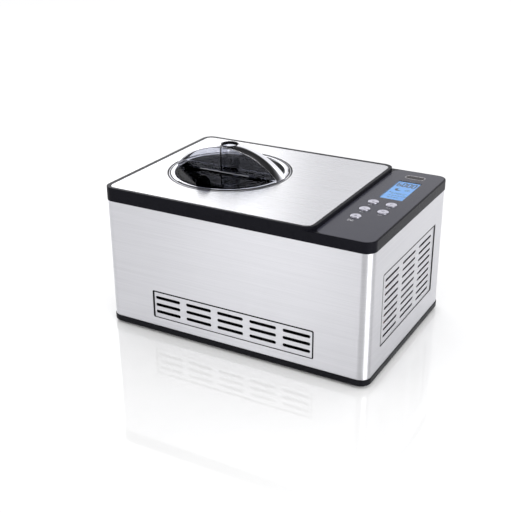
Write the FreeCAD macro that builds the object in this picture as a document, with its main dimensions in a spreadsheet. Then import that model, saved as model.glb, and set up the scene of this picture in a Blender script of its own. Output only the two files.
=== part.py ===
"""Countertop ice cream maker with its own compressor, as a parametric assembly.

Frame: +X to the user's right, -Y towards the user, +Z up. The origin is the middle of the footprint,
on the surface that the machine stands on. Lengths are in millimetres.
"""
import FreeCAD, Part
import math
import os

import Sketcher
from FreeCAD import Vector

UP = Vector(0, 0, 1)
RIGHT = Vector(1, 0, 0)
BACK = Vector(0, 1, 0)

# Driving dimensions: alias, value, and what it is.
DIMENSIONS = [
    ("case_width", 425, "overall width of the top band"),
    ("case_depth", 290, "overall depth of the top band"),
    ("case_corner", 16, "radius of the upright corners"),
    ("foot_height", 4, "rubber foot under the base tray"),
    ("foot_radius", 10, "rubber foot"),
    ("foot_x", 182, "foot centre from the middle"),
    ("foot_y", 115, "foot centre from the middle"),
    ("tray_height", 9.6, "dark strip at the bottom"),
    ("tray_floor", 2.4, "floor of the base tray"),
    ("steel_height", 186.3, "steel body between tray and band"),
    ("band_height", 15.5, "black band, up to the control deck"),
    ("platform_rise", 5.1, "steel platform above the control deck"),
    ("platform_width", 339.5, "platform, from the left face"),
    ("moulding_wall", 2.5, "wall of the top housing"),
    ("sheet_inset", 1.0, "steel body inside the band's edge"),
    ("sheet_gauge", 0.8, "steel sheet of the body"),
    ("plate_rim", 4.5, "black rim round the top plate"),
    ("plate_gauge", 1.2, "top plate"),
    ("deck_inset", 2.2, "control overlay inside the deck's edge"),
    ("overlay_gauge", 1.0, "control overlay"),
    ("lid_x", -84.5, "axis of bowl, paddle and lid"),
    ("lid_y", 4.0, "axis of bowl, paddle and lid"),
    ("ring_radius", 92.5, "outside of the bright ring"),
    ("ring_bore", 82.5, "inside of the bright ring"),
    ("ring_rise", 0.8, "ring above the top plate"),
    ("well_radius", 77.0, "inside of the cooling well"),
    ("well_wall", 2.0, "cooling well"),
    ("well_floor_z", 84.0, "inside bottom of the cooling well"),
    ("well_rim_z", 212.0, "top of the cooling well's flange"),
    ("bowl_radius", 75.6, "outside of the ice bowl"),
    ("bowl_wall", 1.0, "ice bowl"),
    ("bowl_floor_z", 85.5, "underside of the ice bowl"),
    ("bowl_tube", 9.0, "outside of the bowl's centre tube"),
    ("bowl_tube_z", 150, "top of the bowl's centre tube"),
    ("hub_bore", 9.8, "inside of the paddle's hub"),
    ("hub_radius", 12.5, "outside of the paddle's hub"),
    ("hub_top_z", 198, "top of the paddle's hub"),
    ("lid_radius", 81.9, "lid disc"),
    ("lid_under_z", 215.8, "underside of the lid's rim"),
    ("lid_top_z", 221.0, "top of the lid disc"),
    ("lid_web", 3.0, "thickness of the lid disc"),
    ("arch_radius", 122.5, "outside of the handle strap's curve"),
    ("arch_apex_z", 263.0, "top of the handle strap"),
    ("arch_foot_z", 221.8, "lower ends of the handle strap, just clear of the ring"),
    ("arch_width", 27.0, "width of the handle strap"),
    ("strap_gauge", 1.6, "handle strap"),
    ("tube_radius", 14.85, "outside of the clear centre tube"),
    ("tube_wall", 2.0, "clear centre tube"),
    ("tube_foot_z", 201.5, "lower end of the clear centre tube"),
    ("hinge_y", -17.0, "flap hinge in front of the lid's axis"),
    ("hinge_rise", 1.6, "flap hinge above the lid disc"),
    ("flap_radius", 78.5, "round edge of the filling flap"),
    ("screen_width", 34.5, "display window across"),
    ("screen_length", 80.0, "display window front to back"),
    ("screen_x", 170.5, "centre of the display window"),
    ("screen_y", 56.8, "centre of the display window"),
    ("button_radius", 7.75, "round button"),
    ("button_rise", 1.5, "button above the deck"),
    ("button_travel", 0.8, "button stroke"),
    ("button_gap", 0.2, "gap between a button and its hole"),
    ("slot_pitch_front", 53.1, "front vent, column to column"),
    ("slot_pitch_side", 63.7, "side vent, column to column"),
    ("gear_module", 1.25, "spur gears"),
    ("wheel_teeth", 48, "output gear"),
    ("idler_teeth", 36, "large wheel of the idler"),
    ("pinion_teeth", 12, "motor pinion and small wheel of the idler"),
    ("shaft_radius", 5.0, "drive shaft"),
    ("running_gap", 0.05, "radial play of a turning fit"),
    ("compressor_x", 78.0, "compressor axis"),
    ("compressor_y", -58.0, "compressor axis"),
    ("compressor_radius", 50.0, "compressor shell"),
    ("fan_x", 151.0, "front of the fan shroud"),
    ("fan_size", 119.0, "square of the fan shroud"),
    ("fan_depth", 25.0, "fan shroud"),
    ("fan_axis_z", 101.0, "fan axis"),
    ("condenser_x", 182.0, "inner face of the condenser fins"),
]

doc = FreeCAD.newDocument("IceCreamMaker")
sheet = doc.addObject("Spreadsheet::Sheet", "Sizes")
for row, (alias, number, note) in enumerate(DIMENSIONS, start=1):
    sheet.set(f"A{row}", alias)
    sheet.set(f"B{row}", str(number))
    sheet.setAlias(f"B{row}", alias)
    sheet.set(f"C{row}", note)
doc.recompute()


class Size:
    """A length that knows its number and the spreadsheet expression behind it."""

    def __init__(self, value, text=None):
        self.value = float(value)
        self.text = repr(value) if text is None else text

    @staticmethod
    def of(other):
        return other if isinstance(other, Size) else Size(other)

    def __add__(self, other):
        other = Size.of(other)
        return Size(self.value + other.value, f"({self.text} + {other.text})")

    def __sub__(self, other):
        other = Size.of(other)
        return Size(self.value - other.value, f"({self.text} - {other.text})")

    def __mul__(self, other):
        other = Size.of(other)
        return Size(self.value * other.value, f"({self.text} * {other.text})")

    def __truediv__(self, other):
        other = Size.of(other)
        return Size(self.value / other.value, f"({self.text} / {other.text})")

    def __radd__(self, other):
        return Size.of(other) + self

    def __rsub__(self, other):
        return Size.of(other) - self

    def __rmul__(self, other):
        return Size.of(other) * self

    def __neg__(self):
        return Size(-self.value, f"(0 - {self.text})")

    def __float__(self):
        return self.value

    def is_driven(self):
        """Whether the value comes from the spreadsheet rather than from a plain number."""
        return "Sizes." in self.text


class Sizes:
    """Every driving dimension by its alias."""

    def __getattr__(self, alias):
        return Size(sheet.get(alias), f"Sizes.{alias}")


dim = Sizes()
NODES = []

# Levels and edges worked out from the driving dimensions.
HALF_W = dim.case_width / 2
HALF_D = dim.case_depth / 2
TRAY_TOP = dim.foot_height + dim.tray_height
FLOOR_TOP = dim.foot_height + dim.tray_floor
STEEL_TOP = TRAY_TOP + dim.steel_height
DECK_TOP = STEEL_TOP + dim.band_height
DECK_UNDER = DECK_TOP - dim.moulding_wall
PLATE_TOP = DECK_TOP + dim.platform_rise
PLATE_UNDER = PLATE_TOP - dim.plate_gauge
RING_TOP = PLATE_TOP + dim.ring_rise
PLATFORM_RIGHT = dim.platform_width - HALF_W
STEEL_HALF_W = HALF_W - dim.sheet_inset
STEEL_HALF_D = HALF_D - dim.sheet_inset
BUTTON_CENTRES = [(154.0, -66.8), (154.0, -36.2), (154.0, -5.6), (181.0, -36.4), (181.0, -6.1)]
BUTTON_NAMES = ["menu", "minus", "plus", "power", "start"]

# Badge at the rear of the panel, and the height of the board under it.
BADGE_X = 170.0
BADGE_Y = 117.2
BADGE_HALF_X = 15.5
BADGE_HALF_Y = 7.7
BOARD_TOP_Z = 208.0

# Cooling coil round the well, and the foam block round that.
COIL_TURNS = 8
COIL_PITCH = 13.5
COIL_FIRST_Z = 98.0
COIL_SECTION = 3.0
INSULATION_HALF = 95.0
INSULATION_BOTTOM = 77.0

# Compressor mounting and condenser rows.
COMPRESSOR_FOOT = 50.0
CONDENSER_ROWS = 5
CONDENSER_PITCH = 22.0
CONDENSER_FIRST_Z = 57.0
CONDENSER_DEPTH = 22.0
CONDENSER_HALF = 66.0

# Gearbox under the well.
GEARBOX_BOTTOM = 46.0
GEARBOX_TOP = 76.0
GEARBOX_WALL = 2.5
WHEEL_LEVEL = 62.0
IDLER_LEVEL = 52.0
GEAR_WIDTH = 8.0
MOTOR_RADIUS = 29.0
ROOT_RELIEF = 0.86
SQUARE_HALF = 3.4

# Power inlet in the rear panel.
INLET_X = 165.0
INLET_Z = 32.0

# Removable bowl and paddle.
RIM_RADIUS = 81.4
BOWL_TOP = 213.6
PADDLE_REACH = 71.8

# Hinge of the filling flap: spans of the lugs along the pin, and their sizes.
HINGE_LUGS = (-64.0, 54.0)
FLAP_LUGS = (-53.0, 43.0)
LUG_LENGTH = 10.0
LUG_RADIUS = 1.8
PIN_RADIUS = 0.9
FLAP_GAUGE = 1.6
TAB_HALF = 11.5
TAB_THICK = 3.0


# ---------------------------------------------------------------- building blocks

def bind(thing, prop, size):
    """Bind a property to a size, or set it where the size is a plain number."""
    if isinstance(size, Size) and size.is_driven():
        thing.setExpression(prop, size.text)
    else:
        setattr(thing, prop, float(size))


def place(thing, at):
    """Put an object at a point whose coordinates are sizes."""
    thing.Placement.Base = Vector(*[float(value) for value in at])
    for axis, value in zip("xyz", at):
        if isinstance(value, Size) and value.is_driven():
            thing.setExpression(f"Placement.Base.{axis}", value.text)


def keep(thing, label):
    """Name a finished sub-part, which becomes a node of the assembly."""
    doc.recompute()
    thing.Label = label
    NODES.append(thing)
    return thing


def new_body(name):
    """Start a part design body with the given name."""
    return doc.addObject("PartDesign::Body", name)


def new_sketch(body, role, level=0.0):
    """A sketch on one of the body's own origin planes, moved along the plane's normal to a level."""
    plane = next(item for item in body.Origin.OriginFeatures if item.Role == role)
    sketch = body.newObject("Sketcher::SketchObject", f"{body.Name}_sketch")
    sketch.AttachmentSupport = [(plane, "")]
    sketch.MapMode = "FlatFace"
    sketch.AttachmentOffset = FreeCAD.Placement(Vector(0, 0, float(level)), FreeCAD.Rotation())
    if isinstance(level, Size):
        sketch.setExpression("AttachmentOffset.Base.z", level.text)
    return sketch


def pin(sketch, geometry, end, across, up):
    """Hold one point of a sketch at its coordinates."""
    for kind, size in (("DistanceX", across), ("DistanceY", up)):
        index = sketch.addConstraint(Sketcher.Constraint(kind, -1, 1, geometry, end, float(size)))
        if isinstance(size, Size) and size.is_driven():
            sketch.setExpression(f"Constraints[{index}]", size.text)


def add_outline(sketch, corners):
    """A closed outline of straight lines through the corners."""
    points = [Vector(float(x), float(y), 0) for x, y in corners]
    first = sketch.GeometryCount
    count = len(points)
    for index in range(count):
        sketch.addGeometry(Part.LineSegment(points[index], points[(index + 1) % count]))
    for index in range(count):
        following = first + (index + 1) % count
        sketch.addConstraint(Sketcher.Constraint("Coincident", first + index, 2, following, 1))
    for index, (across, up) in enumerate(corners):
        pin(sketch, first + index, 1, across, up)


def add_rectangle(sketch, left, right, low, high):
    """Draw a dimensioned rectangle in a sketch."""
    add_outline(sketch, [(left, low), (right, low), (right, high), (left, high)])


def add_rounded_rectangle(sketch, left, right, low, high, radius):
    """A rectangle whose four corners are arcs of one radius."""
    stretches = [
        ((left + radius, low), (right - radius, low)),
        ((right, low + radius), (right, high - radius)),
        ((right - radius, high), (left + radius, high)),
        ((left, high - radius), (left, low + radius)),
    ]
    centres = [(right - radius, low + radius), (right - radius, high - radius),
               (left + radius, high - radius), (left + radius, low + radius)]
    lines = []
    arcs = []
    for index, (start, end) in enumerate(stretches):
        near, far = [Vector(float(x), float(y), 0) for x, y in (start, end)]
        lines.append(sketch.addGeometry(Part.LineSegment(near, far)))
        middle = Vector(*[float(value) for value in centres[index]], 0)
        circle = Part.Circle(middle, UP, float(radius))
        begin = (index - 1) * math.pi / 2
        arcs.append(sketch.addGeometry(Part.ArcOfCircle(circle, begin, begin + math.pi / 2)))
    for index, (start, end) in enumerate(stretches):
        pin(sketch, lines[index], 1, *start)
        pin(sketch, lines[index], 2, *end)
        sketch.addConstraint(Sketcher.Constraint("Coincident", lines[index], 2, arcs[index], 1))
        sketch.addConstraint(Sketcher.Constraint("Coincident", arcs[index], 2, lines[(index + 1) % 4], 1))
        constraint = sketch.addConstraint(Sketcher.Constraint("Radius", arcs[index], float(radius)))
        if isinstance(radius, Size):
            sketch.setExpression(f"Constraints[{constraint}]", radius.text)


def add_circle(sketch, across, up, radius):
    """Draw a dimensioned circle in a sketch."""
    index = sketch.addGeometry(Part.Circle(Vector(float(across), float(up), 0), UP, float(radius)))
    pin(sketch, index, 3, across, up)
    constraint = sketch.addConstraint(Sketcher.Constraint("Radius", index, float(radius)))
    if isinstance(radius, Size):
        sketch.setExpression(f"Constraints[{constraint}]", radius.text)


def extrude(body, kind, sketch, length, reverse=False):
    """Pad or pocket a sketch by a length; a pocket must remove something."""
    before = body.Shape.Volume if body.Tip else 0.0
    feature = body.newObject(f"PartDesign::{kind}", f"{body.Name}_{kind}")
    feature.Profile = sketch
    feature.Reversed = reverse
    bind(feature, "Length", length)
    doc.recompute()
    if kind == "Pocket" and body.Shape.Volume >= before:
        raise RuntimeError(f"{feature.Name} removes nothing")
    return feature


def pad(body, sketch, length, reverse=False):
    """Pad a sketch by a length."""
    return extrude(body, "Pad", sketch, length, reverse)


def pocket(body, sketch, length, reverse=False):
    """Pocket a sketch by a depth."""
    return extrude(body, "Pocket", sketch, length, reverse)


def revolve(body, sketch):
    """Turn a profile on the XZ plane right round the body's Z axis."""
    feature = body.newObject("PartDesign::Revolution", f"{body.Name}_turned")
    feature.Profile = sketch
    feature.ReferenceAxis = (sketch, ["V_Axis"])
    feature.Angle = 360
    doc.recompute()
    return feature


def pattern(body, feature, axis, pitch, count, axis2=None, pitch2=0.0, count2=1):
    """Repeat a feature along one or two sketch axes."""
    repeat = body.newObject("PartDesign::LinearPattern", f"{body.Name}_pattern")
    repeat.Originals = [feature]
    repeat.Direction = (feature.Profile[0], [axis])
    repeat.Mode = "Spacing"
    bind(repeat, "Offset", pitch)
    repeat.Occurrences = count
    if axis2:
        repeat.Direction2 = (feature.Profile[0], [axis2])
        repeat.Mode2 = "Spacing"
        bind(repeat, "Offset2", pitch2)
        repeat.Occurrences2 = count2
        repeat.Spacings2 = [-1.0] * (count2 - 1)
    body.Tip = repeat
    doc.recompute()
    return repeat


def rounded_plate(body, left, right, low, high, bottom, height, radius):
    """A rectangular block with rounded upright corners."""
    sketch = new_sketch(body, "XY_Plane", bottom)
    add_rounded_rectangle(sketch, *[Size.of(edge) for edge in (left, right, low, high)], radius)
    return pad(body, sketch, height)


def box_pocket(body, left, right, low, high, top, depth, radius=None):
    """Cut a rectangular hollow down from a level, with round corners where a radius is given."""
    sketch = new_sketch(body, "XY_Plane", top)
    edges = [Size.of(edge) for edge in (left, right, low, high)]
    if radius is None:
        add_rectangle(sketch, *edges)
    else:
        add_rounded_rectangle(sketch, *edges, radius)
    return pocket(body, sketch, depth)


def round_pocket(body, centres, radius, top, depth):
    """Cut round holes down from a level."""
    sketch = new_sketch(body, "XY_Plane", top)
    for across, up in centres:
        add_circle(sketch, across, up, radius)
    return pocket(body, sketch, depth)


def turned(name, profile, at=(0, 0, 0)):
    """A body turned from a profile of (radius, level) corners, about an upright axis at a point."""
    body = new_body(name)
    sketch = new_sketch(body, "XZ_Plane")
    add_outline(sketch, profile)
    revolve(body, sketch)
    place(body, at)
    return body


def make_box(left, right, front, rear, bottom, top):
    """A box solid between two corners."""
    box = doc.addObject("Part::Box", "box")
    bind(box, "Length", Size.of(right) - left)
    bind(box, "Width", Size.of(rear) - front)
    bind(box, "Height", Size.of(top) - bottom)
    place(box, (Size.of(left), Size.of(front), Size.of(bottom)))
    return box


def make_cylinder(radius, length, at, axis=UP):
    """A cylinder solid on an axis."""
    cylinder = doc.addObject("Part::Cylinder", "cylinder")
    bind(cylinder, "Radius", Size.of(radius))
    bind(cylinder, "Height", Size.of(length))
    cylinder.Placement.Rotation = FreeCAD.Rotation(UP, axis)
    place(cylinder, [Size.of(value) for value in at])
    return cylinder


def make_ring(radius, section, at):
    """A flat or tall ring solid on an axis."""
    ring = doc.addObject("Part::Torus", "ring")
    bind(ring, "Radius1", Size.of(radius))
    bind(ring, "Radius2", Size.of(section))
    place(ring, [Size.of(value) for value in at])
    return ring


def cut(base, tool):
    """Take the tools away from a base solid."""
    result = doc.addObject("Part::Cut", "cut")
    result.Base = base
    result.Tool = tool
    return result


def common(first, second):
    """Keep only what two solids share."""
    result = doc.addObject("Part::Common", "common")
    result.Base = first
    result.Tool = second
    return result


def fuse(shapes):
    """Join solids to one."""
    result = doc.addObject("Part::MultiFuse", "fuse")
    result.Shapes = shapes
    return result


def group(shapes):
    """Separate solids that share one node."""
    result = doc.addObject("Part::Compound", "group")
    result.Links = shapes
    return result


def made(label, shape, at=(0, 0, 0)):
    """A sub-part whose form is worked out by formula."""
    part = doc.addObject("Part::Feature", label)
    part.Shape = shape
    place(part, at)
    return keep(part, label)


def bent_tube(points, radius, bend):
    """A solid tube along straight runs that tangent arcs join."""
    edges = []
    start = points[0]
    for before, corner, after in zip(points, points[1:], points[2:]):
        arrive = (corner - before).normalize()
        leave = (after - corner).normalize()
        turn = arrive.getAngle(leave)
        back = bend * math.tan(turn / 2)
        arc_start = corner - arrive * back
        arc_end = corner + leave * back
        inward = (leave - arrive).normalize()
        middle = corner + inward * (bend / math.cos(turn / 2) - bend)
        edges.append(Part.LineSegment(start, arc_start).toShape())
        edges.append(Part.Arc(arc_start, middle, arc_end).toShape())
        start = arc_end
    edges.append(Part.LineSegment(start, points[-1]).toShape())
    path = Part.Wire(edges)
    first = (points[1] - points[0]).normalize()
    section = Part.Wire([Part.makeCircle(radius, points[0], first)])
    return path.makePipeShell([section], True, False)


# ---------------------------------------------------------------- case

def build_base_tray():
    """The moulded tray the machine stands in."""
    body = new_body("base_tray")
    left, right, low, high = -HALF_W, HALF_W, -HALF_D, HALF_D
    rounded_plate(body, left, right, low, high, dim.foot_height, dim.tray_height, dim.case_corner)
    wall = 3.0
    box_pocket(body, left + wall, right - wall, low + wall, high - wall,
               TRAY_TOP, dim.tray_height - dim.tray_floor, dim.case_corner - wall)
    slot = new_sketch(body, "XY_Plane", FLOOR_TOP)
    add_rectangle(slot, 40.0, 45.0, -50.0, 50.0)
    first = pocket(body, slot, dim.tray_floor)
    pattern(body, first, "H_Axis", 12.0, 10)
    keep(body, "base_tray")


def build_feet():
    """Four soft feet under the tray."""
    corners = [("front_left", -1, -1), ("front_right", 1, -1), ("rear_left", -1, 1), ("rear_right", 1, 1)]
    for name, side, end in corners:
        radius = dim.foot_radius
        profile = [(0.0, 0.0), (radius - 1.5, 0.0), (radius - 0.5, 0.8), (radius, 2.2),
                   (radius, dim.foot_height), (0.0, dim.foot_height)]
        foot = turned(f"foot_{name}", profile, (dim.foot_x * side, dim.foot_y * end, Size(0.0)))
        keep(foot, f"foot_{name}")


def vent_recess(body, role, level, left, right, low, high):
    """Press a vent field in by a millimetre: metal behind the sheet, and its outside cut back."""
    press = 1.0
    backing = new_sketch(body, role, level - dim.sheet_gauge)
    add_rectangle(backing, left - press, right + press, low - press, high + press)
    pad(body, backing, press, reverse=True)
    recess = new_sketch(body, role, level)
    add_rectangle(recess, left, right, low, high)
    pocket(body, recess, press)


def add_slot(sketch, left, low, length, height):
    """A slot with round ends."""
    radius = height / 2
    near = Vector(left + radius, low + radius, 0)
    far = Vector(left + length - radius, low + radius, 0)
    lower = sketch.addGeometry(Part.LineSegment(near - BACK * radius, far - BACK * radius))
    right_end = sketch.addGeometry(
        Part.ArcOfCircle(Part.Circle(far, UP, radius), -math.pi / 2, math.pi / 2))
    upper = sketch.addGeometry(Part.LineSegment(far + BACK * radius, near + BACK * radius))
    left_end = sketch.addGeometry(
        Part.ArcOfCircle(Part.Circle(near, UP, radius), math.pi / 2, 3 * math.pi / 2))
    loop = [lower, right_end, upper, left_end]
    for index, piece in enumerate(loop):
        sketch.addConstraint(Sketcher.Constraint("Tangent", piece, 2, loop[(index + 1) % 4], 1))
    sketch.addConstraint(Sketcher.Constraint("Radius", right_end, radius))
    sketch.addConstraint(Sketcher.Constraint("Radius", left_end, radius))
    pin(sketch, right_end, 3, far.x, far.y)
    pin(sketch, left_end, 3, near.x, near.y)


def build_body_wrapper():
    """Front, sides and rear corners in one bent sheet, with the two pressed vent fields."""
    body = new_body("body_wrapper")
    gauge = dim.sheet_gauge
    corner = dim.case_corner - dim.sheet_inset
    left, right, low, high = -STEEL_HALF_W, STEEL_HALF_W, -STEEL_HALF_D, STEEL_HALF_D
    rounded_plate(body, left, right, low, high, TRAY_TOP, dim.steel_height, corner)
    box_pocket(body, left + gauge, right - gauge, low + gauge, high - gauge,
               STEEL_TOP, dim.steel_height, corner - gauge)
    rear = new_sketch(body, "XY_Plane", STEEL_TOP)
    add_rectangle(rear, -190.0, 190.0, 100.0, STEEL_HALF_D + 1)
    pocket(body, rear, dim.steel_height)
    vent_recess(body, "XZ_Plane", STEEL_HALF_D, -133.5, 132.0, 27.0, 71.0)
    front_slot = new_sketch(body, "XZ_Plane", STEEL_HALF_D)
    add_slot(front_slot, -128.5, 35.0, 42.6, 4.0)
    first = pocket(body, front_slot, 3.0)
    pattern(body, first, "H_Axis", dim.slot_pitch_front, 5, "V_Axis", 11.5, 3)
    vent_recess(body, "YZ_Plane", STEEL_HALF_W, -101.0, 102.0, 46.0, 155.0)
    side_slot = new_sketch(body, "YZ_Plane", STEEL_HALF_W)
    add_slot(side_slot, -90.0, 55.4, 49.5, 3.2)
    first = pocket(body, side_slot, 3.0)
    pattern(body, first, "H_Axis", dim.slot_pitch_side, 3, "V_Axis", 10.6, 9)
    flange_holes = new_sketch(body, "XZ_Plane", -STEEL_HALF_D)
    for across, up in rear_screw_points():
        add_circle(flange_holes, across, up, 1.75)
    pocket(body, flange_holes, gauge, reverse=True)
    keep(body, "body_wrapper")


def rear_screw_points():
    """Where the rear panel screws sit, across and up."""
    return [(side * 193.5, level) for side in (-1, 1) for level in (30.0, 107.0, 184.0)]


def build_rear_panel():
    """Flat steel panel behind the wrapper's rear flanges, with air slots and the inlet's opening."""
    body = new_body("rear_panel")
    outer = STEEL_HALF_D - dim.sheet_gauge
    sketch = new_sketch(body, "XZ_Plane", -outer)
    add_rectangle(sketch, -196.2, 196.2, TRAY_TOP, STEEL_TOP)
    pad(body, sketch, dim.sheet_gauge)
    slot = new_sketch(body, "XZ_Plane", -outer)
    add_slot(slot, 20.0, 120.0, 44.0, 3.2)
    first = pocket(body, slot, dim.sheet_gauge, reverse=True)
    pattern(body, first, "H_Axis", 56.0, 3, "V_Axis", 8.0, 8)
    opening = new_sketch(body, "XZ_Plane", -outer)
    add_rectangle(opening, INLET_X - 15.0, INLET_X + 15.0, INLET_Z - 11.0, INLET_Z + 11.0)
    for across, up in rear_screw_points():
        add_circle(opening, across, up, 1.75)
    pocket(body, opening, dim.sheet_gauge, reverse=True)
    keep(body, "rear_panel")


def screw(at, axis, head_radius, head_height, shank_radius, shank_length):
    """A pan-head screw: the head stands out along the axis, the shank goes the other way."""
    point = Vector(*[float(value) for value in at])
    head = make_cylinder(head_radius, head_height, point, axis)
    shank = make_cylinder(shank_radius, shank_length, point, -axis)
    cross = make_cylinder(head_radius * 0.45, head_height * 0.5, point + axis * (head_height * 0.5), axis)
    return cut(fuse([head, shank]), cross)


def build_case_screws():
    """Screws that hold the rear panel on."""
    places = rear_screw_points()
    heads = [screw((across, STEEL_HALF_D, up), BACK, 3.0, 0.95, 1.5, 4.5) for across, up in places]
    keep(group(heads), "case_screws")


def build_top_housing():
    """Black moulding: the band round the top, the raised platform and the lower control deck."""
    body = new_body("top_housing")
    wall = dim.moulding_wall
    rounded_plate(body, -HALF_W, HALF_W, -HALF_D, HALF_D, STEEL_TOP, dim.band_height, dim.case_corner)
    rounded_plate(
        body, -HALF_W, PLATFORM_RIGHT, -HALF_D, HALF_D, DECK_TOP, dim.platform_rise, dim.case_corner
    )
    box_pocket(body, wall - HALF_W, HALF_W - wall, wall - HALF_D, HALF_D - wall,
               DECK_UNDER, dim.band_height - wall, dim.case_corner - wall)
    deeper = new_sketch(body, "XY_Plane", DECK_UNDER)
    add_rectangle(deeper, wall * 5 - HALF_W, PLATFORM_RIGHT - wall * 2, wall * 5 - HALF_D, HALF_D - wall * 5)
    pocket(body, deeper, dim.platform_rise - dim.plate_gauge, reverse=True)
    rim = dim.plate_rim
    box_pocket(body, rim - HALF_W, PLATFORM_RIGHT - rim, rim - HALF_D, HALF_D - rim,
               PLATE_TOP, dim.plate_gauge, dim.case_corner - rim)
    round_pocket(body, [(dim.lid_x, dim.lid_y)], dim.ring_radius - 4.5, PLATE_UNDER, 10.0)
    recess = new_sketch(body, "XY_Plane", DECK_TOP)
    add_overlay_outline(recess)
    pocket(body, recess, dim.overlay_gauge)
    half_x = dim.screen_width / 2
    half_y = dim.screen_length / 2
    box_pocket(body, dim.screen_x - half_x, dim.screen_x + half_x,
               dim.screen_y - half_y, dim.screen_y + half_y, DECK_TOP, 4.0)
    round_pocket(body, BUTTON_CENTRES, dim.button_radius + dim.button_gap, DECK_TOP, 4.0)
    keep(body, "top_housing")


def build_top_plate():
    """The brushed plate on the raised platform."""
    body = new_body("top_plate")
    rim = dim.plate_rim
    rounded_plate(body, rim - HALF_W, PLATFORM_RIGHT - rim, rim - HALF_D, HALF_D - rim,
                  PLATE_UNDER, dim.plate_gauge, dim.case_corner - rim)
    round_pocket(body, [(dim.lid_x, dim.lid_y)], dim.ring_radius + 0.6, PLATE_TOP, dim.plate_gauge)
    keep(body, "top_plate")


# ---------------------------------------------------------------- control panel


def add_overlay_outline(sketch):
    """Outline of the control overlay, inside the deck's edge on three sides and beside the platform."""
    inset = dim.deck_inset
    add_rounded_rectangle(sketch, PLATFORM_RIGHT + 1.0, HALF_W - inset, inset - HALF_D, HALF_D - inset,
                          dim.case_corner - inset)


def build_control_overlay():
    """The panel sheet with its window and button holes."""
    body = new_body("control_overlay")
    gauge = dim.overlay_gauge
    sketch = new_sketch(body, "XY_Plane", DECK_TOP - gauge)
    add_overlay_outline(sketch)
    pad(body, sketch, gauge)
    half_x = dim.screen_width / 2
    half_y = dim.screen_length / 2
    box_pocket(body, dim.screen_x - half_x, dim.screen_x + half_x,
               dim.screen_y - half_y, dim.screen_y + half_y, DECK_TOP, gauge)
    round_pocket(body, BUTTON_CENTRES, dim.button_radius + dim.button_gap, DECK_TOP, gauge)
    box_pocket(body, BADGE_X - BADGE_HALF_X, BADGE_X + BADGE_HALF_X,
               BADGE_Y - BADGE_HALF_Y, BADGE_Y + BADGE_HALF_Y, DECK_TOP, 0.5)
    keep(body, "control_overlay")


def build_display():
    """The display behind its window."""
    half_x = dim.screen_width / 2
    half_y = dim.screen_length / 2
    edges = (dim.screen_x - half_x, dim.screen_x + half_x, dim.screen_y - half_y, dim.screen_y + half_y)
    window = new_body("display_window")
    rounded_plate(window, *edges, DECK_TOP - 2.0, 2.0, 0.6)
    keep(window, "display_window")
    module = new_body("display_module")
    rounded_plate(module, *edges, BOARD_TOP_Z, DECK_TOP - 2.0 - BOARD_TOP_Z, 0.6)
    keep(module, "display_module")
    badge = new_body("badge")
    rounded_plate(badge, BADGE_X - BADGE_HALF_X, BADGE_X + BADGE_HALF_X,
                  BADGE_Y - BADGE_HALF_Y, BADGE_Y + BADGE_HALF_Y, DECK_TOP - 0.5, 0.7, 3.0)
    keep(badge, "badge")


def build_buttons():
    """Five round buttons, each a cap with a retaining flange and a stem over its key switch."""
    radius = dim.button_radius
    switch_top = BOARD_TOP_Z + 2.4
    for name, (across, up) in zip(BUTTON_NAMES, BUTTON_CENTRES):
        flange_top = DECK_UNDER - 0.1
        profile = [(0.0, DECK_TOP + dim.button_rise), (radius - 0.9, DECK_TOP + dim.button_rise),
                   (radius, DECK_TOP + dim.button_rise - 0.7), (radius, flange_top),
                   (radius + 1.2, flange_top), (radius + 1.2, flange_top - 0.9), (3.0, flange_top - 0.9),
                   (3.0, dim.button_travel + switch_top), (0.0, dim.button_travel + switch_top)]
        button = turned(f"button_{name}", profile, (across, up, 0.0))
        keep(button, f"button_{name}")


def build_control_board():
    """The circuit board under the panel."""
    body = new_body("control_board")
    rounded_plate(body, 134.0, 206.0, -80.0, 132.0, BOARD_TOP_Z - 1.6, 1.6, 3.0)
    keep(body, "control_board")
    switches = []
    for across, up in BUTTON_CENTRES:
        base = make_box(across - 3.0, across + 3.0, up - 3.0, up + 3.0, BOARD_TOP_Z, BOARD_TOP_Z + 1.8)
        plunger = make_cylinder(1.7, 0.6, (across, up, BOARD_TOP_Z + 1.8))
        switches.append(fuse([base, plunger]))
    keep(group(switches), "key_switches")


# ---------------------------------------------------------------- cold side

def build_well_ring():
    """The bright ring round the well mouth."""
    ring = turned("well_ring", [
        (dim.ring_bore, dim.well_rim_z), (dim.ring_radius - 5.0, dim.well_rim_z),
        (dim.ring_radius - 5.0, PLATE_UNDER), (dim.ring_radius, PLATE_UNDER),
        (dim.ring_radius, RING_TOP - 0.8), (dim.ring_radius - 0.8, RING_TOP),
        (dim.ring_bore + 0.8, RING_TOP), (dim.ring_bore, RING_TOP - 0.8),
    ], (dim.lid_x, dim.lid_y, Size(0.0)))
    keep(ring, "well_ring")


def build_cooling_well():
    """The fixed metal well that the bowl stands in."""
    inner = dim.well_radius
    outer = inner + dim.well_wall
    floor = dim.well_floor_z
    rim = dim.well_rim_z
    well = turned("cooling_well", [
        (11.0, floor - dim.well_wall), (outer - 4.0, floor - dim.well_wall), (outer, floor + 2.0),
        (outer, rim - 2.0), (dim.ring_radius - 5.0, rim - 2.0), (dim.ring_radius - 5.0, rim),
        (inner, rim), (inner, floor + 3.0), (inner - 3.0, floor), (11.0, floor),
    ], (dim.lid_x, dim.lid_y, Size(0.0)))
    keep(well, "cooling_well")


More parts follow.
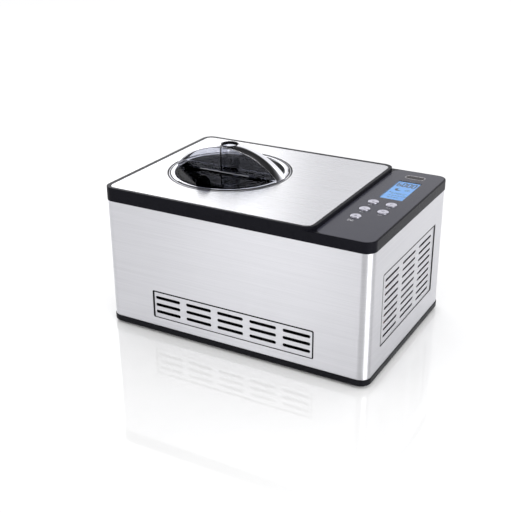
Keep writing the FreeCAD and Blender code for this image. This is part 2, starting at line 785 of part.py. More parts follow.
def build_evaporator_coil():
    """Turns of tube round the cooling well, with short risers from each turn to the next."""
    radius = dim.well_radius + dim.well_wall + COIL_SECTION + 0.1
    pieces = []
    for turn in range(COIL_TURNS):
        level = COIL_FIRST_Z + turn * COIL_PITCH
        pieces.append(make_ring(radius, COIL_SECTION, (0.0, 0.0, level)))
        if turn:
            angle = math.radians(200 + 10 * turn)
            across = float(radius) * math.cos(angle)
            up = float(radius) * math.sin(angle)
            pieces.append(make_cylinder(COIL_SECTION - 0.2, COIL_PITCH, (across, up, level - COIL_PITCH)))
    coil = fuse(pieces)
    place(coil, (dim.lid_x, dim.lid_y, Size(0.0)))
    keep(coil, "evaporator_coil")


def build_insulation():
    """The foam block round the well and its coil."""
    body = new_body("insulation_block")
    half = INSULATION_HALF
    bore = dim.well_radius + dim.well_wall + 2 * COIL_SECTION + 0.4
    top = dim.well_rim_z - 2.1
    rounded_plate(body, dim.lid_x - half, dim.lid_x + half, dim.lid_y - half, dim.lid_y + half,
                  INSULATION_BOTTOM, top - INSULATION_BOTTOM, 40.0)
    centre = [(dim.lid_x, dim.lid_y)]
    round_pocket(body, centre, bore, top, top - dim.well_floor_z + dim.well_wall)
    round_pocket(body, centre, 14.0, dim.well_floor_z, 20.0)
    keep(body, "insulation_block")


def build_compressor():
    """Sealed pot with a domed top, a weld seam, a foot plate and tube stubs."""
    radius = dim.compressor_radius
    bottom = 24.0
    pot = turned("compressor_pot", [
        (0.0, bottom), (radius - 14.0, bottom), (radius - 3.0, bottom + 12.0), (radius, bottom + 26.0),
        (radius, bottom + 70.0), (radius + 2.5, bottom + 70.0), (radius + 2.5, bottom + 76.0),
        (radius, bottom + 76.0), (radius - 3.0, bottom + 104.0), (radius - 16.0, bottom + 120.0),
        (radius - 34.0, bottom + 126.0), (0.0, bottom + 127.0),
    ], (dim.compressor_x, dim.compressor_y, Size(0.0)))
    reach = COMPRESSOR_FOOT
    plate = make_box(dim.compressor_x - reach, dim.compressor_x + reach,
                     dim.compressor_y - reach, dim.compressor_y + reach, bottom, bottom + 3.0)
    corners = fuse([make_cylinder(4.5, 10.0, (dim.compressor_x + across, dim.compressor_y + up, bottom - 2.0))
                    for across, up in compressor_feet()])
    suction = make_cylinder(3.6, 16.0, (dim.compressor_x - 44.0, dim.compressor_y + 40.0, bottom + 50.0))
    ear = make_box(dim.compressor_x - 48.0, dim.compressor_x - 20.0, dim.compressor_y + 20.0,
                   dim.compressor_y + 44.0, bottom + 42.0, bottom + 50.0)
    keep(cut(fuse([pot, plate, ear, suction]), corners), "compressor")


def compressor_feet():
    """Centres of the four compressor feet."""
    offset = COMPRESSOR_FOOT - 8.0
    return [(across * offset, up * offset) for across in (-1, 1) for up in (-1, 1)]


def build_compressor_grommets():
    """Rubber grommets that carry the compressor's foot plate on the base tray."""
    pieces = []
    for across, up in compressor_feet():
        grommet = turned("grommet", [
            (0.0, FLOOR_TOP), (7.5, FLOOR_TOP), (7.5, 24.0), (4.5, 24.0), (4.5, 27.0), (7.5, 27.0), (7.5, 30.0),
            (0.0, 30.0)], (dim.compressor_x + across, dim.compressor_y + up, Size(0.0)))
        pieces.append(grommet)
    keep(group(pieces), "compressor_grommets")


def build_condenser():
    """Serpentine of horizontal tubes with return bends, through a pack of upright fins."""
    centre = dim.condenser_x + CONDENSER_DEPTH / 2
    tube = 3.2
    pieces = []
    for index in range(CONDENSER_ROWS):
        level = CONDENSER_FIRST_Z + index * CONDENSER_PITCH
        pieces.append(make_cylinder(tube, 2 * CONDENSER_HALF, (centre, -CONDENSER_HALF, level), BACK))
    for index in range(CONDENSER_ROWS - 1):
        end = CONDENSER_HALF if index % 2 else -CONDENSER_HALF
        level = CONDENSER_FIRST_Z + (index + 0.5) * CONDENSER_PITCH
        bend = doc.addObject("Part::Torus", "bend")
        bend.Radius1 = CONDENSER_PITCH / 2
        bend.Radius2 = tube
        bend.Placement.Rotation = FreeCAD.Rotation(UP, RIGHT)
        place(bend, (centre, Size(end), Size(level)))
        reach = CONDENSER_PITCH
        outer = (end, end + reach) if end > 0 else (end - reach, end)
        half = make_box(centre - reach, centre + reach, outer[0], outer[1], level - reach, level + reach)
        pieces.append(common(bend, half))
    keep(fuse(pieces), "condenser_tubes")
    fins = []
    count = 24
    gap = (2 * CONDENSER_HALF - 8.0) / (count - 1)
    for index in range(count):
        front = -CONDENSER_HALF + 4.0 + index * gap - 0.4
        fin = make_box(dim.condenser_x, dim.condenser_x + CONDENSER_DEPTH, front, front + 0.8, 44.0, 158.0)
        holes = group([make_cylinder(tube + 0.05, 3.0,
                                     (centre, front - 1.0, CONDENSER_FIRST_Z + row * CONDENSER_PITCH), BACK)
                       for row in range(CONDENSER_ROWS)])
        fins.append(cut(fin, holes))
    keep(group(fins), "condenser_fins")


def build_fan():
    """Axial fan between the compressor and the condenser, blowing out through the side vent."""
    front = dim.fan_x
    half = dim.fan_size / 2
    axis_z = dim.fan_axis_z
    depth = dim.fan_depth
    block = make_box(front, front + depth, -half, half, axis_z - half, axis_z + half)
    bore = make_cylinder(half - 2.5, depth + 2.0, (front - 1.0, 0.0, axis_z), RIGHT)
    frame = cut(block, bore)
    back = front + depth - 3.0
    struts = [make_box(back, back + 3.0, -half + 1.0, half - 1.0, axis_z - 2.5, axis_z + 2.5),
              make_box(back, back + 3.0, -2.5, 2.5, axis_z - half + 1.0, axis_z + half - 1.0)]
    hub_hole = make_cylinder(19.0, 6.0, (back - 1.0, 0.0, axis_z), RIGHT)
    foot = make_box(front + 2.0, front + depth - 2.0, -half, half, FLOOR_TOP, axis_z - half)
    keep(fuse([frame, cut(fuse(struts), hub_hole), foot]), "fan_shroud")
    motor = fuse([make_cylinder(19.0, 5.0, (back - 2.0, 0.0, axis_z), RIGHT),
                  make_cylinder(2.0, 13.0, (back - 15.0, 0.0, axis_z), RIGHT)])
    keep(motor, "fan_motor")
    hub = make_cylinder(18.0, 14.0, (front + 4.0, 0.0, axis_z), RIGHT)
    blades = []
    for index in range(7):
        blade = make_box(0.0, 1.6, -9.0, 9.0, 16.0, half - 5.0)
        pitched = FreeCAD.Placement(Vector(float(front) + 7.0, -8.0, 16.0), FreeCAD.Rotation(UP, -32))
        turn = FreeCAD.Rotation(RIGHT, index * 360 / 7)
        turned_round = FreeCAD.Placement(Vector(0, 0, float(axis_z)), turn)
        blade.Placement = turned_round * pitched
        blades.append(blade)
    shaft_hole = make_cylinder(2.0 + dim.running_gap, 14.0, (front + 5.5, 0.0, axis_z), RIGHT)
    keep(cut(fuse([hub] + blades), shaft_hole), "fan_rotor")


def build_lines():
    """Refrigerant lines and the filter drier, as bent tubes."""
    drier_x, drier_y = 32.0, 30.0
    drier = turned("filter_drier", [(0.0, 60.0), (2.4, 60.0), (3.0, 66.0), (8.0, 72.0), (8.0, 122.0),
                                    (3.0, 128.0), (2.4, 134.0), (0.0, 134.0)], (drier_x, drier_y, 0.0))
    keep(drier, "filter_drier")
    comp_x, comp_y = float(dim.compressor_x), float(dim.compressor_y)
    fin_x = float(dim.condenser_x) + CONDENSER_DEPTH / 2
    top_row = CONDENSER_FIRST_Z + (CONDENSER_ROWS - 1) * CONDENSER_PITCH
    discharge = bent_tube([
        Vector(comp_x, comp_y, 151.0), Vector(comp_x, comp_y, 176.0), Vector(comp_x, -92.0, 176.0),
        Vector(fin_x, -92.0, 176.0), Vector(fin_x, -92.0, top_row),
        Vector(fin_x, -CONDENSER_HALF, top_row)], 2.6, 8.0)
    made("discharge_line", discharge)
    suction = bent_tube([
        Vector(comp_x - 44.0, comp_y + 40.0, 90.0), Vector(comp_x - 44.0, comp_y + 40.0, 120.0),
        Vector(16.0, 16.0, 120.0), Vector(16.0, 16.0, 202.0)], 3.2, 7.0)
    made("suction_line", suction)
    bottom_row = CONDENSER_FIRST_Z
    liquid = bent_tube([
        Vector(fin_x, CONDENSER_HALF, bottom_row), Vector(fin_x, 88.0, bottom_row),
        Vector(fin_x - 20.0, 88.0, 50.0), Vector(drier_x, 88.0, 50.0), Vector(drier_x, drier_y, 50.0),
        Vector(drier_x, drier_y, 60.0)], 1.6, 4.5)
    made("liquid_line", liquid)


# ---------------------------------------------------------------- drive


def centre_distance(first_teeth, second_teeth):
    """Distance between two meshing gears."""
    return dim.gear_module * (first_teeth + second_teeth) / 2


IDLER_X = dim.lid_x + centre_distance(dim.wheel_teeth, dim.pinion_teeth)
MOTOR_X = IDLER_X + centre_distance(dim.idler_teeth, dim.pinion_teeth)


def gear_face(teeth, turn, level):
    """Outline of a spur gear with involute flanks at a level, turned by part of a circle."""
    module = float(dim.gear_module)
    pressure = math.radians(20)
    pitch = module * teeth / 2
    base = pitch * math.cos(pressure)
    tip = pitch + module * 0.9
    root = pitch - module * 1.15
    play = 0.10
    half_tooth = (math.pi / 2 - play / module) / teeth

    def involute(radius):
        """Point on the involute at a radius."""
        if radius <= base:
            return 0.0
        roll = math.sqrt((radius / base) ** 2 - 1)
        return roll - math.atan(roll)

    def polar(radius, angle):
        """Point at a radius and an angle."""
        return Vector(radius * math.cos(angle), radius * math.sin(angle), level)

    def flank(radius, side, middle):
        """Points along one tooth flank."""
        return polar(radius, middle + side * (half_tooth + involute(pitch) - involute(radius)))

    edges = []
    start = max(root, base)
    step = 2 * math.pi / teeth
    root_angle = (half_tooth + involute(pitch)) * ROOT_RELIEF
    for index in range(teeth):
        middle = turn + index * step
        edges.append(Part.Arc(flank(start, -1, middle), flank((start + tip) / 2, -1, middle),
                              flank(tip, -1, middle)).toShape())
        edges.append(Part.Arc(flank(tip, -1, middle), polar(tip, middle), flank(tip, 1, middle)).toShape())
        edges.append(Part.Arc(flank(tip, 1, middle), flank((start + tip) / 2, 1, middle),
                              flank(start, 1, middle)).toShape())
        following = middle + step
        valley_start = flank(root, 1, middle)
        valley_end = flank(root, -1, following)
        if start > root:
            valley_start = polar(root, middle + root_angle)
            valley_end = polar(root, following - root_angle)
            edges.append(Part.LineSegment(flank(start, 1, middle), valley_start).toShape())
        edges.append(Part.Arc(valley_start, polar(root, middle + step / 2), valley_end).toShape())
        if start > root:
            edges.append(Part.LineSegment(valley_end, flank(start, -1, following)).toShape())
    return Part.Face(Part.Wire(edges))


def gear(teeth, turn, bottom, width, bore):
    """A spur gear with involute flanks."""
    solid = gear_face(teeth, turn, bottom).extrude(Vector(0, 0, width))
    return solid.cut(Part.makeCylinder(bore, width + 2.0, Vector(0, 0, bottom - 1.0)))


def build_gears():
    """Motor pinion, stepped idler and output gear, in mesh at rest."""
    wheel_teeth = int(float(dim.wheel_teeth))
    idler_teeth = int(float(dim.idler_teeth))
    pinion_teeth = int(float(dim.pinion_teeth))
    shaft = float(dim.shaft_radius)
    wheel = gear(wheel_teeth, 0.0, WHEEL_LEVEL, GEAR_WIDTH, shaft)
    made("output_gear", wheel, (dim.lid_x, dim.lid_y, Size(0.0)))
    small = gear(pinion_teeth, math.pi / pinion_teeth, IDLER_LEVEL + 6.0, 12.0, 3.05)
    large = gear(idler_teeth, 0.0, IDLER_LEVEL, 6.0, 3.05)
    idler = large.fuse(small)
    made("idler_gear", idler, (IDLER_X, dim.lid_y, Size(0.0)))
    pinion = gear(pinion_teeth, math.pi / pinion_teeth, IDLER_LEVEL - 1.0, GEAR_WIDTH, 2.0)
    rod = Part.makeCylinder(2.5, 12.0, Vector(0, 0, IDLER_LEVEL - 13.0))
    tip = Part.makeCylinder(2.0, GEAR_WIDTH, Vector(0, 0, IDLER_LEVEL - 1.0))
    made("motor_pinion", pinion.fuse([rod, tip]), (MOTOR_X, dim.lid_y, Size(0.0)))


def build_gearbox():
    """The gearbox case, its cover and its stands."""
    left, right = dim.lid_x - 36.0, MOTOR_X + 16.0
    low, high = dim.lid_y - 36.0, dim.lid_y + 36.0
    wall = GEARBOX_WALL
    cover_bottom = GEARBOX_TOP - wall
    case = new_body("gearbox_case")
    rounded_plate(case, left, right, low, high, GEARBOX_BOTTOM, cover_bottom - GEARBOX_BOTTOM, 14.0)
    box_pocket(case, left + wall, right - wall, low + wall, high - wall,
               cover_bottom, cover_bottom - GEARBOX_BOTTOM - wall, 14.0 - wall)
    bush = dim.shaft_radius + 3.0
    round_pocket(case, [(dim.lid_x, dim.lid_y)], bush, GEARBOX_BOTTOM + wall, wall)
    round_pocket(case, [(MOTOR_X, dim.lid_y)], 6.0, GEARBOX_BOTTOM + wall, wall)
    round_pocket(case, [(IDLER_X, dim.lid_y)], 3.0, GEARBOX_BOTTOM + wall, wall)
    keep(case, "gearbox_case")
    cover = new_body("gearbox_cover")
    rounded_plate(cover, left, right, low, high, cover_bottom, wall, 14.0)
    round_pocket(cover, [(dim.lid_x, dim.lid_y)], bush, GEARBOX_TOP, wall)
    round_pocket(cover, [(IDLER_X, dim.lid_y)], 3.0, GEARBOX_TOP, wall)
    keep(cover, "gearbox_cover")
    pin_rod = make_cylinder(3.0, GEARBOX_TOP - GEARBOX_BOTTOM, (IDLER_X, dim.lid_y, Size(GEARBOX_BOTTOM)))
    keep(pin_rod, "idler_pin")
    bore = dim.shaft_radius + dim.running_gap
    bushes = []
    for level in (GEARBOX_BOTTOM, cover_bottom):
        bushes.append(turned("bush", [(bore, level), (bush, level), (bush, level + wall),
                                      (bore, level + wall)], (dim.lid_x, dim.lid_y, Size(0.0))))
    keep(group(bushes), "shaft_bushes")
    seal = turned("shaft_seal", [
        (dim.shaft_radius + 0.1, GEARBOX_TOP), (11.0, GEARBOX_TOP), (11.0, dim.well_floor_z),
        (dim.shaft_radius + 0.1, dim.well_floor_z)], (dim.lid_x, dim.lid_y, Size(0.0)))
    keep(seal, "shaft_seal")


def build_drive_shaft():
    """Round shaft whose square top end drives the paddle."""
    bottom = GEARBOX_BOTTOM
    square_from = 152.0
    rod = make_cylinder(dim.shaft_radius, square_from - bottom, (dim.lid_x, dim.lid_y, Size(bottom)))
    half = SQUARE_HALF
    square = make_box(dim.lid_x - half, dim.lid_x + half, dim.lid_y - half, dim.lid_y + half,
                      square_from, 170.0)
    keep(fuse([rod, square]), "drive_shaft")


def build_drive_motor():
    """The motor that drives the gear train."""
    can_top = GEARBOX_BOTTOM
    motor = turned("drive_motor", [
        (2.6, can_top), (9.0, can_top), (9.0, can_top - 1.5), (MOTOR_RADIUS - 1.5, can_top - 1.5),
        (MOTOR_RADIUS, can_top - 3.0), (MOTOR_RADIUS, 17.0), (MOTOR_RADIUS - 1.5, 15.5), (8.0, 15.5),
        (8.0, FLOOR_TOP), (0.0, FLOOR_TOP), (0.0, 36.0), (2.6, 36.0),
    ], (MOTOR_X, dim.lid_y, Size(0.0)))
    keep(motor, "drive_motor")
    columns = []
    for across in (-30.0, 20.0):
        for up in (-30.0, 30.0):
            columns.append(make_cylinder(5.0, GEARBOX_BOTTOM - FLOOR_TOP,
                                         (dim.lid_x + across, dim.lid_y + up, FLOOR_TOP)))
    keep(group(columns), "gearbox_stands")


def build_electrics():
    """Power board on its posts, and the three-pin inlet in the rear panel."""
    body = new_body("power_board")
    sketch = new_sketch(body, "XY_Plane", 20.0)
    add_rectangle(sketch, 30.0, 140.0, 72.0, 136.0)
    pad(body, sketch, 1.6)
    for across, up, size_x, size_y, tall in ((40.0, 80.0, 26.0, 22.0, 24.0), (74.0, 84.0, 14.0, 14.0, 26.0),
                                             (96.0, 96.0, 30.0, 26.0, 30.0), (44.0, 112.0, 34.0, 14.0, 16.0)):
        part = new_sketch(body, "XY_Plane", 21.6)
        add_rectangle(part, across, across + size_x, up, up + size_y)
        pad(body, part, tall)
    posts = new_sketch(body, "XY_Plane", FLOOR_TOP)
    for across in (36.0, 134.0):
        for up in (76.0, 132.0):
            add_circle(posts, across, up, 2.5)
    pad(body, posts, 20.0 - FLOOR_TOP)
    keep(body, "power_board")
    rear = STEEL_HALF_D - dim.sheet_gauge
    flange = make_box(INLET_X - 18.0, INLET_X + 18.0, rear - dim.sheet_gauge - 3.0, rear - dim.sheet_gauge,
                      INLET_Z - 14.0, INLET_Z + 14.0)
    shell = make_box(INLET_X - 15.0, INLET_X + 15.0, rear - 26.0, rear, INLET_Z - 11.0, INLET_Z + 11.0)
    mouth = make_box(INLET_X - 12.0, INLET_X + 12.0, rear - 18.0, rear + 1.0, INLET_Z - 8.0, INLET_Z + 8.0)
    pins = [make_box(INLET_X + across - 1.0, INLET_X + across + 1.0, rear - 20.0, rear - 9.5,
                     INLET_Z + up - 2.0, INLET_Z + up + 2.0)
            for across, up in ((-7.0, -2.0), (0.0, 2.5), (7.0, -2.0))]
    keep(fuse([cut(fuse([flange, shell]), mouth)] + pins), "power_inlet")
    ribbon = make_box(134.5, 135.3, 100.0, 120.0, 52.0, 206.4)
    keep(fuse([ribbon, make_box(126.0, 135.3, 100.0, 120.0, 51.6, 52.4)]), "ribbon_cable")


# ---------------------------------------------------------------- bowl and paddle

def build_bowl():
    """Lift-out bowl with a rolled rim, a centre tube and two finger grips."""
    outer = dim.bowl_radius
    inner = outer - dim.bowl_wall
    floor = dim.bowl_floor_z
    tube = dim.bowl_tube
    bowl = turned("bowl_shell", [
        (tube - 1.5, floor), (outer - 8.0, floor), (outer - 2.5, floor + 2.2), (outer, floor + 8.0),
        (outer, dim.well_rim_z + 0.3), (RIM_RADIUS, dim.well_rim_z + 0.3), (RIM_RADIUS, BOWL_TOP),
        (inner, BOWL_TOP), (inner, floor + 8.4), (inner - 2.2, floor + 3.2), (inner - 7.4, floor + 1.2),
        (tube, floor + 1.2), (tube, dim.bowl_tube_z), (tube - 1.5, dim.bowl_tube_z),
    ], (dim.lid_x, dim.lid_y, Size(0.0)))
    keep(bowl, "ice_bowl")


def build_paddle():
    """Hub over the bowl's centre tube, with an open blade on each side."""
    washer = turned("thrust_washer", [
        (dim.bowl_tube + 0.1, dim.bowl_floor_z + 1.3), (16.0, dim.bowl_floor_z + 1.3),
        (16.0, dim.bowl_floor_z + 2.8), (dim.bowl_tube + 0.1, dim.bowl_floor_z + 2.8),
    ], (dim.lid_x, dim.lid_y, Size(0.0)))
    keep(washer, "thrust_washer")
    bottom = dim.bowl_floor_z + 3.0
    paddle = new_body("mixing_paddle")
    profile = new_sketch(paddle, "XZ_Plane")
    ceiling = dim.bowl_tube_z + 2.0
    add_outline(profile, [
        (dim.hub_bore, bottom), (dim.hub_radius + 2.0, bottom), (dim.hub_radius + 2.0, bottom + 6.0),
        (dim.hub_radius, bottom + 9.0), (dim.hub_radius, dim.hub_top_z - 8.0),
        (dim.hub_radius - 4.0, dim.hub_top_z), (0.0, dim.hub_top_z), (0.0, ceiling), (dim.hub_bore, ceiling)])
    revolve(paddle, profile)
    reach = PADDLE_REACH
    thick = 5.0
    arm_top = bottom + 9.0
    hub = dim.hub_radius - 0.5
    side_a = new_sketch(paddle, "XZ_Plane", -thick / 2)
    add_outline(side_a, [(hub, bottom + 1.0), (reach - 8.0, bottom + 1.0), (reach, bottom + 9.0), (reach, 196.0),
                         (reach - 9.0, 196.0), (reach - 9.0, 104.0), (hub, 104.0 - 2.0)])
    pad(paddle, side_a, thick)
    brace_a = new_sketch(paddle, "XZ_Plane", -thick / 2)
    add_outline(brace_a, [(hub, 150.0), (reach - 8.0, 184.0), (reach - 8.0, 193.0), (hub, 160.0)])
    pad(paddle, brace_a, thick)
    side_b = new_sketch(paddle, "XZ_Plane", -thick / 2)
    add_outline(side_b, [(-reach + 8.0, bottom + 1.0), (-hub, bottom + 1.0), (-hub, arm_top + 6.0),
                         (-reach + 10.0, 104.0), (-reach + 10.0, 160.0), (-reach, 160.0), (-reach, bottom + 9.0)])
    pad(paddle, side_b, thick)
    brace_b = new_sketch(paddle, "XZ_Plane", -thick / 2)
    add_outline(brace_b, [(-reach + 9.0, 148.0), (-hub, 166.0), (-hub, 176.0), (-reach + 9.0, 160.0)])
    pad(paddle, brace_b, thick)
    socket = new_sketch(paddle, "XY_Plane", ceiling)
    half = SQUARE_HALF + 0.1
    add_rectangle(socket, -half, half, -half, half)
    pocket(paddle, socket, 22.0, reverse=True)
    place(paddle, (dim.lid_x, dim.lid_y, Size(0.0)))
    keep(paddle, "mixing_paddle")
    scrapers = []
    for side, top in ((1, 195.0), (-1, 159.0)):
        blade = make_box(reach, reach + 1.6, -1.2, 1.2, bottom + 10.0, top)
        if side < 0:
            place(blade, (Size.of(-reach) - 1.6, Size(-1.2), bottom + 10.0))
        scrapers.append(blade)
    blades = group(scrapers)
    place(blades, (dim.lid_x, dim.lid_y, Size(0.0)))
    keep(blades, "paddle_scrapers")


# ---------------------------------------------------------------- lid

def lid_axis(level=0.0):
    """The upright axis that the lid turns on."""
    return (dim.lid_x, dim.lid_y, Size.of(level))


def build_lid_disc():
    """Clear disc with a rim, a bore for the centre tube and the half-moon filling opening in front."""
    seal = turned("lid_seal", [(77.0, BOWL_TOP), (81.4, BOWL_TOP), (81.4, dim.lid_under_z),
                               (77.0, dim.lid_under_z)], lid_axis())
    keep(seal, "lid_seal")
    under = dim.lid_under_z
    top = dim.lid_top_z
    web = top - dim.lid_web
    disc = turned("disc_blank", [
        (dim.tube_radius, web), (dim.lid_radius - 5.0, web), (dim.lid_radius - 5.0, under),
        (dim.lid_radius, under), (dim.lid_radius, top - 0.8), (dim.lid_radius - 0.8, top),
        (dim.tube_radius, top)])
    far = 100.0
    opening = common(make_cylinder(dim.flap_radius - 3.0, 20.0, (0.0, 0.0, 210.0)),
                     make_box(-far, far, -far, dim.hinge_y - 5.0, 205.0, 235.0))
    seat = common(make_cylinder(dim.flap_radius + 0.3, 20.0, (0.0, 0.0, top - FLAP_GAUGE)),
                  make_box(-far, far, -far, dim.hinge_y + 2.0, 205.0, 245.0))
    lugs = [hinge_lug(across) for across in HINGE_LUGS]
    webs = [make_box(across, across + LUG_LENGTH, dim.hinge_y - 1.4, dim.hinge_y + 1.4,
                     top - FLAP_GAUGE - 0.5, top + dim.hinge_rise) for across in HINGE_LUGS]
    half = dim.arch_width / 2 - 0.8
    plinth = cut(make_box(-79.0, 79.0, -half, half, top - 0.5, dim.arch_foot_z),
                 make_cylinder(dim.tube_radius, 20.0, (0.0, 0.0, 210.0)))
    body = fuse([cut(disc, fuse([opening, seat])), plinth] + lugs + webs)
    lid = cut(body, hinge_bore())
    place(lid, lid_axis())
    keep(lid, "lid_disc")


def hinge_lug(across):
    """One knuckle of the flap hinge."""
    return make_cylinder(LUG_RADIUS, LUG_LENGTH, (across, dim.hinge_y, dim.lid_top_z + dim.hinge_rise), RIGHT)


def hinge_bore():
    """The bore for the hinge pin."""
    bore = PIN_RADIUS + dim.running_gap
    return make_cylinder(bore, 140.0, (-70.0, dim.hinge_y, dim.lid_top_z + dim.hinge_rise), RIGHT)


def build_flap():
    """Half-moon filling flap with two hinge lugs and a finger tab at its front."""
    top = dim.lid_top_z
    under = top - FLAP_GAUGE
    plate = common(make_cylinder(dim.flap_radius, FLAP_GAUGE, (0.0, 0.0, under)),
                   make_box(-100.0, 100.0, -100.0, dim.hinge_y - 2.4, 205.0, 245.0))
    lugs = [hinge_lug(across) for across in FLAP_LUGS]
    necks = [make_box(across, across + LUG_LENGTH, dim.hinge_y - 3.0, dim.hinge_y, under,
                      top + dim.hinge_rise) for across in FLAP_LUGS]
    front = -dim.flap_radius
    stem = 4.0
    tab_base = common(make_box(-TAB_HALF, TAB_HALF, front - 1.0, front + TAB_THICK + 0.8, under, top + stem),
                      make_cylinder(dim.flap_radius, 40.0, (0.0, 0.0, under)))
    tab_round = make_cylinder(TAB_HALF, TAB_THICK, (0.0, front + 0.8, top + stem), BACK)
    tab_trim = make_box(-TAB_HALF, TAB_HALF, front, front + 10.0, top + stem, top + 20.0)
    flap = cut(fuse([plate, tab_base, common(tab_round, tab_trim)] + lugs + necks), hinge_bore())
    place(flap, lid_axis())
    keep(flap, "fill_flap")
    rod = make_cylinder(PIN_RADIUS, 2 * 64.0,
                        (dim.lid_x - 64.0, dim.lid_y + dim.hinge_y, top + dim.hinge_rise), RIGHT)
    keep(rod, "flap_pin")


def arch_slice(radius, half_width, foot):
    """The part of a horizontal drum, centred under the strap's apex, that stands above a level."""
    centre_z = dim.arch_apex_z - dim.arch_radius
    drum = make_cylinder(radius, half_width * 2, (0.0, half_width * -1.0, centre_z), BACK)
    block = make_box(-120.0, 120.0, half_width * -1.0, half_width, foot, dim.arch_apex_z + 5.0)
    return common(drum, block)


def build_arch():
    """Bright strap over a clear moulding: the arch's two webs and the centre tube through them."""
    half = dim.arch_width / 2
    foot = dim.arch_foot_z
    strap_in = dim.arch_radius - dim.strap_gauge
    bore = dim.tube_radius - dim.tube_wall
    strap = cut(cut(arch_slice(dim.arch_radius, half, foot), arch_slice(strap_in, half + 1.0, foot - 1.0)),
                make_cylinder(bore, 80.0, (0.0, 0.0, 200.0)))
    place(strap, lid_axis())
    keep(strap, "handle_strap")
    web_half = half - 0.8
    web_wall = 2.4
    core = arch_slice(strap_in - 3.0, web_half - web_wall, foot - 1.0)
    webs = cut(arch_slice(strap_in, web_half, foot), core)
    drum = arch_slice(strap_in, 20.0, dim.tube_foot_z)
    tube = common(make_cylinder(dim.tube_radius, 80.0, (0.0, 0.0, dim.tube_foot_z)), drum)
    arch = cut(fuse([webs, tube]), make_cylinder(bore, 90.0, (0.0, 0.0, 190.0)))
    place(arch, lid_axis())
    keep(arch, "lid_arch")


def build_all():
    """Build every piece in order."""
    build_base_tray()
    build_feet()
    build_body_wrapper()
    build_rear_panel()
    build_case_screws()
    build_top_housing()
    build_top_plate()
    build_control_overlay()
    build_display()
    build_buttons()
    build_control_board()
    build_well_ring()
    build_cooling_well()
    build_evaporator_coil()
    build_insulation()
    build_compressor()
    build_compressor_grommets()
    build_condenser()
    build_fan()
    build_lines()
    build_gears()
    build_gearbox()
    build_drive_shaft()
    build_drive_motor()
    build_electrics()
    build_bowl()
    build_paddle()
    build_lid_disc()
    build_flap()
    build_arch()


def check_and_write():
    """Stop on any failed object, then write one STEP file for each sub-part."""
    doc.recompute()
    for thing in doc.Objects:
        if "Invalid" in thing.State or "Error" in thing.State:
            raise RuntimeError(f"{thing.Label} failed: {thing.State}")
    for thing in NODES:
        if thing.Shape.isNull() or not thing.Shape.isValid() or thing.Shape.Volume <= 0:
            raise RuntimeError(f"{thing.Label} has no valid shape")
    os.makedirs("parts", exist_ok=True)
    for thing in NODES:
        thing.Shape.exportStep(f"parts/{thing.Label}.step")
        print(f"{thing.Label:22s} solids {len(thing.Shape.Solids):3d} volume {thing.Shape.Volume:12.1f}")
    print(len(NODES), "sub-parts")


build_all()
check_and_write()
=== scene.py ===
"""Visible finish of a countertop ice cream maker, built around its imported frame.

Sizes are in millimetres in the frame of the assembly: X to the right, Y to the rear, Z up, with the
origin under the middle of the case. Each mesh is turned into metres when it becomes a piece.
"""

import logging
import math
from dataclasses import dataclass, field
from enum import Enum
from typing import Callable, Iterable, Optional, Sequence

import bmesh
import bpy
from mathutils import Matrix, Vector


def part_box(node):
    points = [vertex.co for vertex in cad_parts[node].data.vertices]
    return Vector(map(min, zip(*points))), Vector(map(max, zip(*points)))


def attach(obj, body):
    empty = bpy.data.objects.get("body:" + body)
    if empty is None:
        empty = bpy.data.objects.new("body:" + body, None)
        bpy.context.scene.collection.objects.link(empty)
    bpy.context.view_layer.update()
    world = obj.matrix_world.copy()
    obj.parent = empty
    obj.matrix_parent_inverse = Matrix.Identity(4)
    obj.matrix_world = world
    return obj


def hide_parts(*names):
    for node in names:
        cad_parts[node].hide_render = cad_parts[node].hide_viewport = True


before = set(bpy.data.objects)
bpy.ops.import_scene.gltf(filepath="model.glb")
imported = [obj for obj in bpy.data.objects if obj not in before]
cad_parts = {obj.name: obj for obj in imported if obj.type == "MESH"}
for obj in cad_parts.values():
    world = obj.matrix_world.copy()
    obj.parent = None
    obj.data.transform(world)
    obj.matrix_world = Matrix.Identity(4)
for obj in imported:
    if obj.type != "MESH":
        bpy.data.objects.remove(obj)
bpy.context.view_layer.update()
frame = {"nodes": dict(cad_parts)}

MM = 0.001
Z_AXIS = Vector((0.0, 0.0, 1.0))
ROUND_STEPS = 96

Point = Sequence[float]
Colour = tuple[float, float, float]

log = logging.getLogger("ice_cream_maker")


class Slot(Enum):
    """Material slots of the record that the pieces take their finish from."""

    TRAY = "tray_black"
    BODY = "brushed_body"
    PLAIN_STEEL = "plain_steel"
    SCREWS = "screw_steel"
    BAND = "band_black"
    TOP = "brushed_top"
    PANEL = "panel_grey"
    SCREEN_CLEAR = "screen_clear"
    SCREEN_BLUE = "screen_blue"
    BADGE = "badge_metal"
    BOARD = "board_green"
    SWITCH = "switch_black"
    RING = "ring_chrome"
    WELL = "well_aluminium"
    COPPER = "tube_copper"
    FOAM = "foam"
    COMPRESSOR = "compressor_black"
    RUBBER = "soft_rubber"
    FINS = "fin_aluminium"
    FAN = "fan_plastic"
    GEARBOX = "gearbox_grey"
    SHAFT = "shaft_steel"
    BRONZE = "bush_bronze"
    MOTOR = "motor_steel"
    SOCKET = "socket_black"
    RIBBON = "ribbon_grey"
    GEAR = "gear_white"
    BOWL = "bowl_steel"
    PADDLE = "paddle_plastic"
    SILICONE = "scraper_silicone"
    LID = "lid_clear"
    FLAP = "flap_clear"
    STRAP = "strap_chrome"
    BUTTON = "button_silver"


class Carve(Enum):
    """Ways in which one solid works on another."""

    CUT = "DIFFERENCE"
    ADD = "UNION"
    SHARE = "INTERSECT"


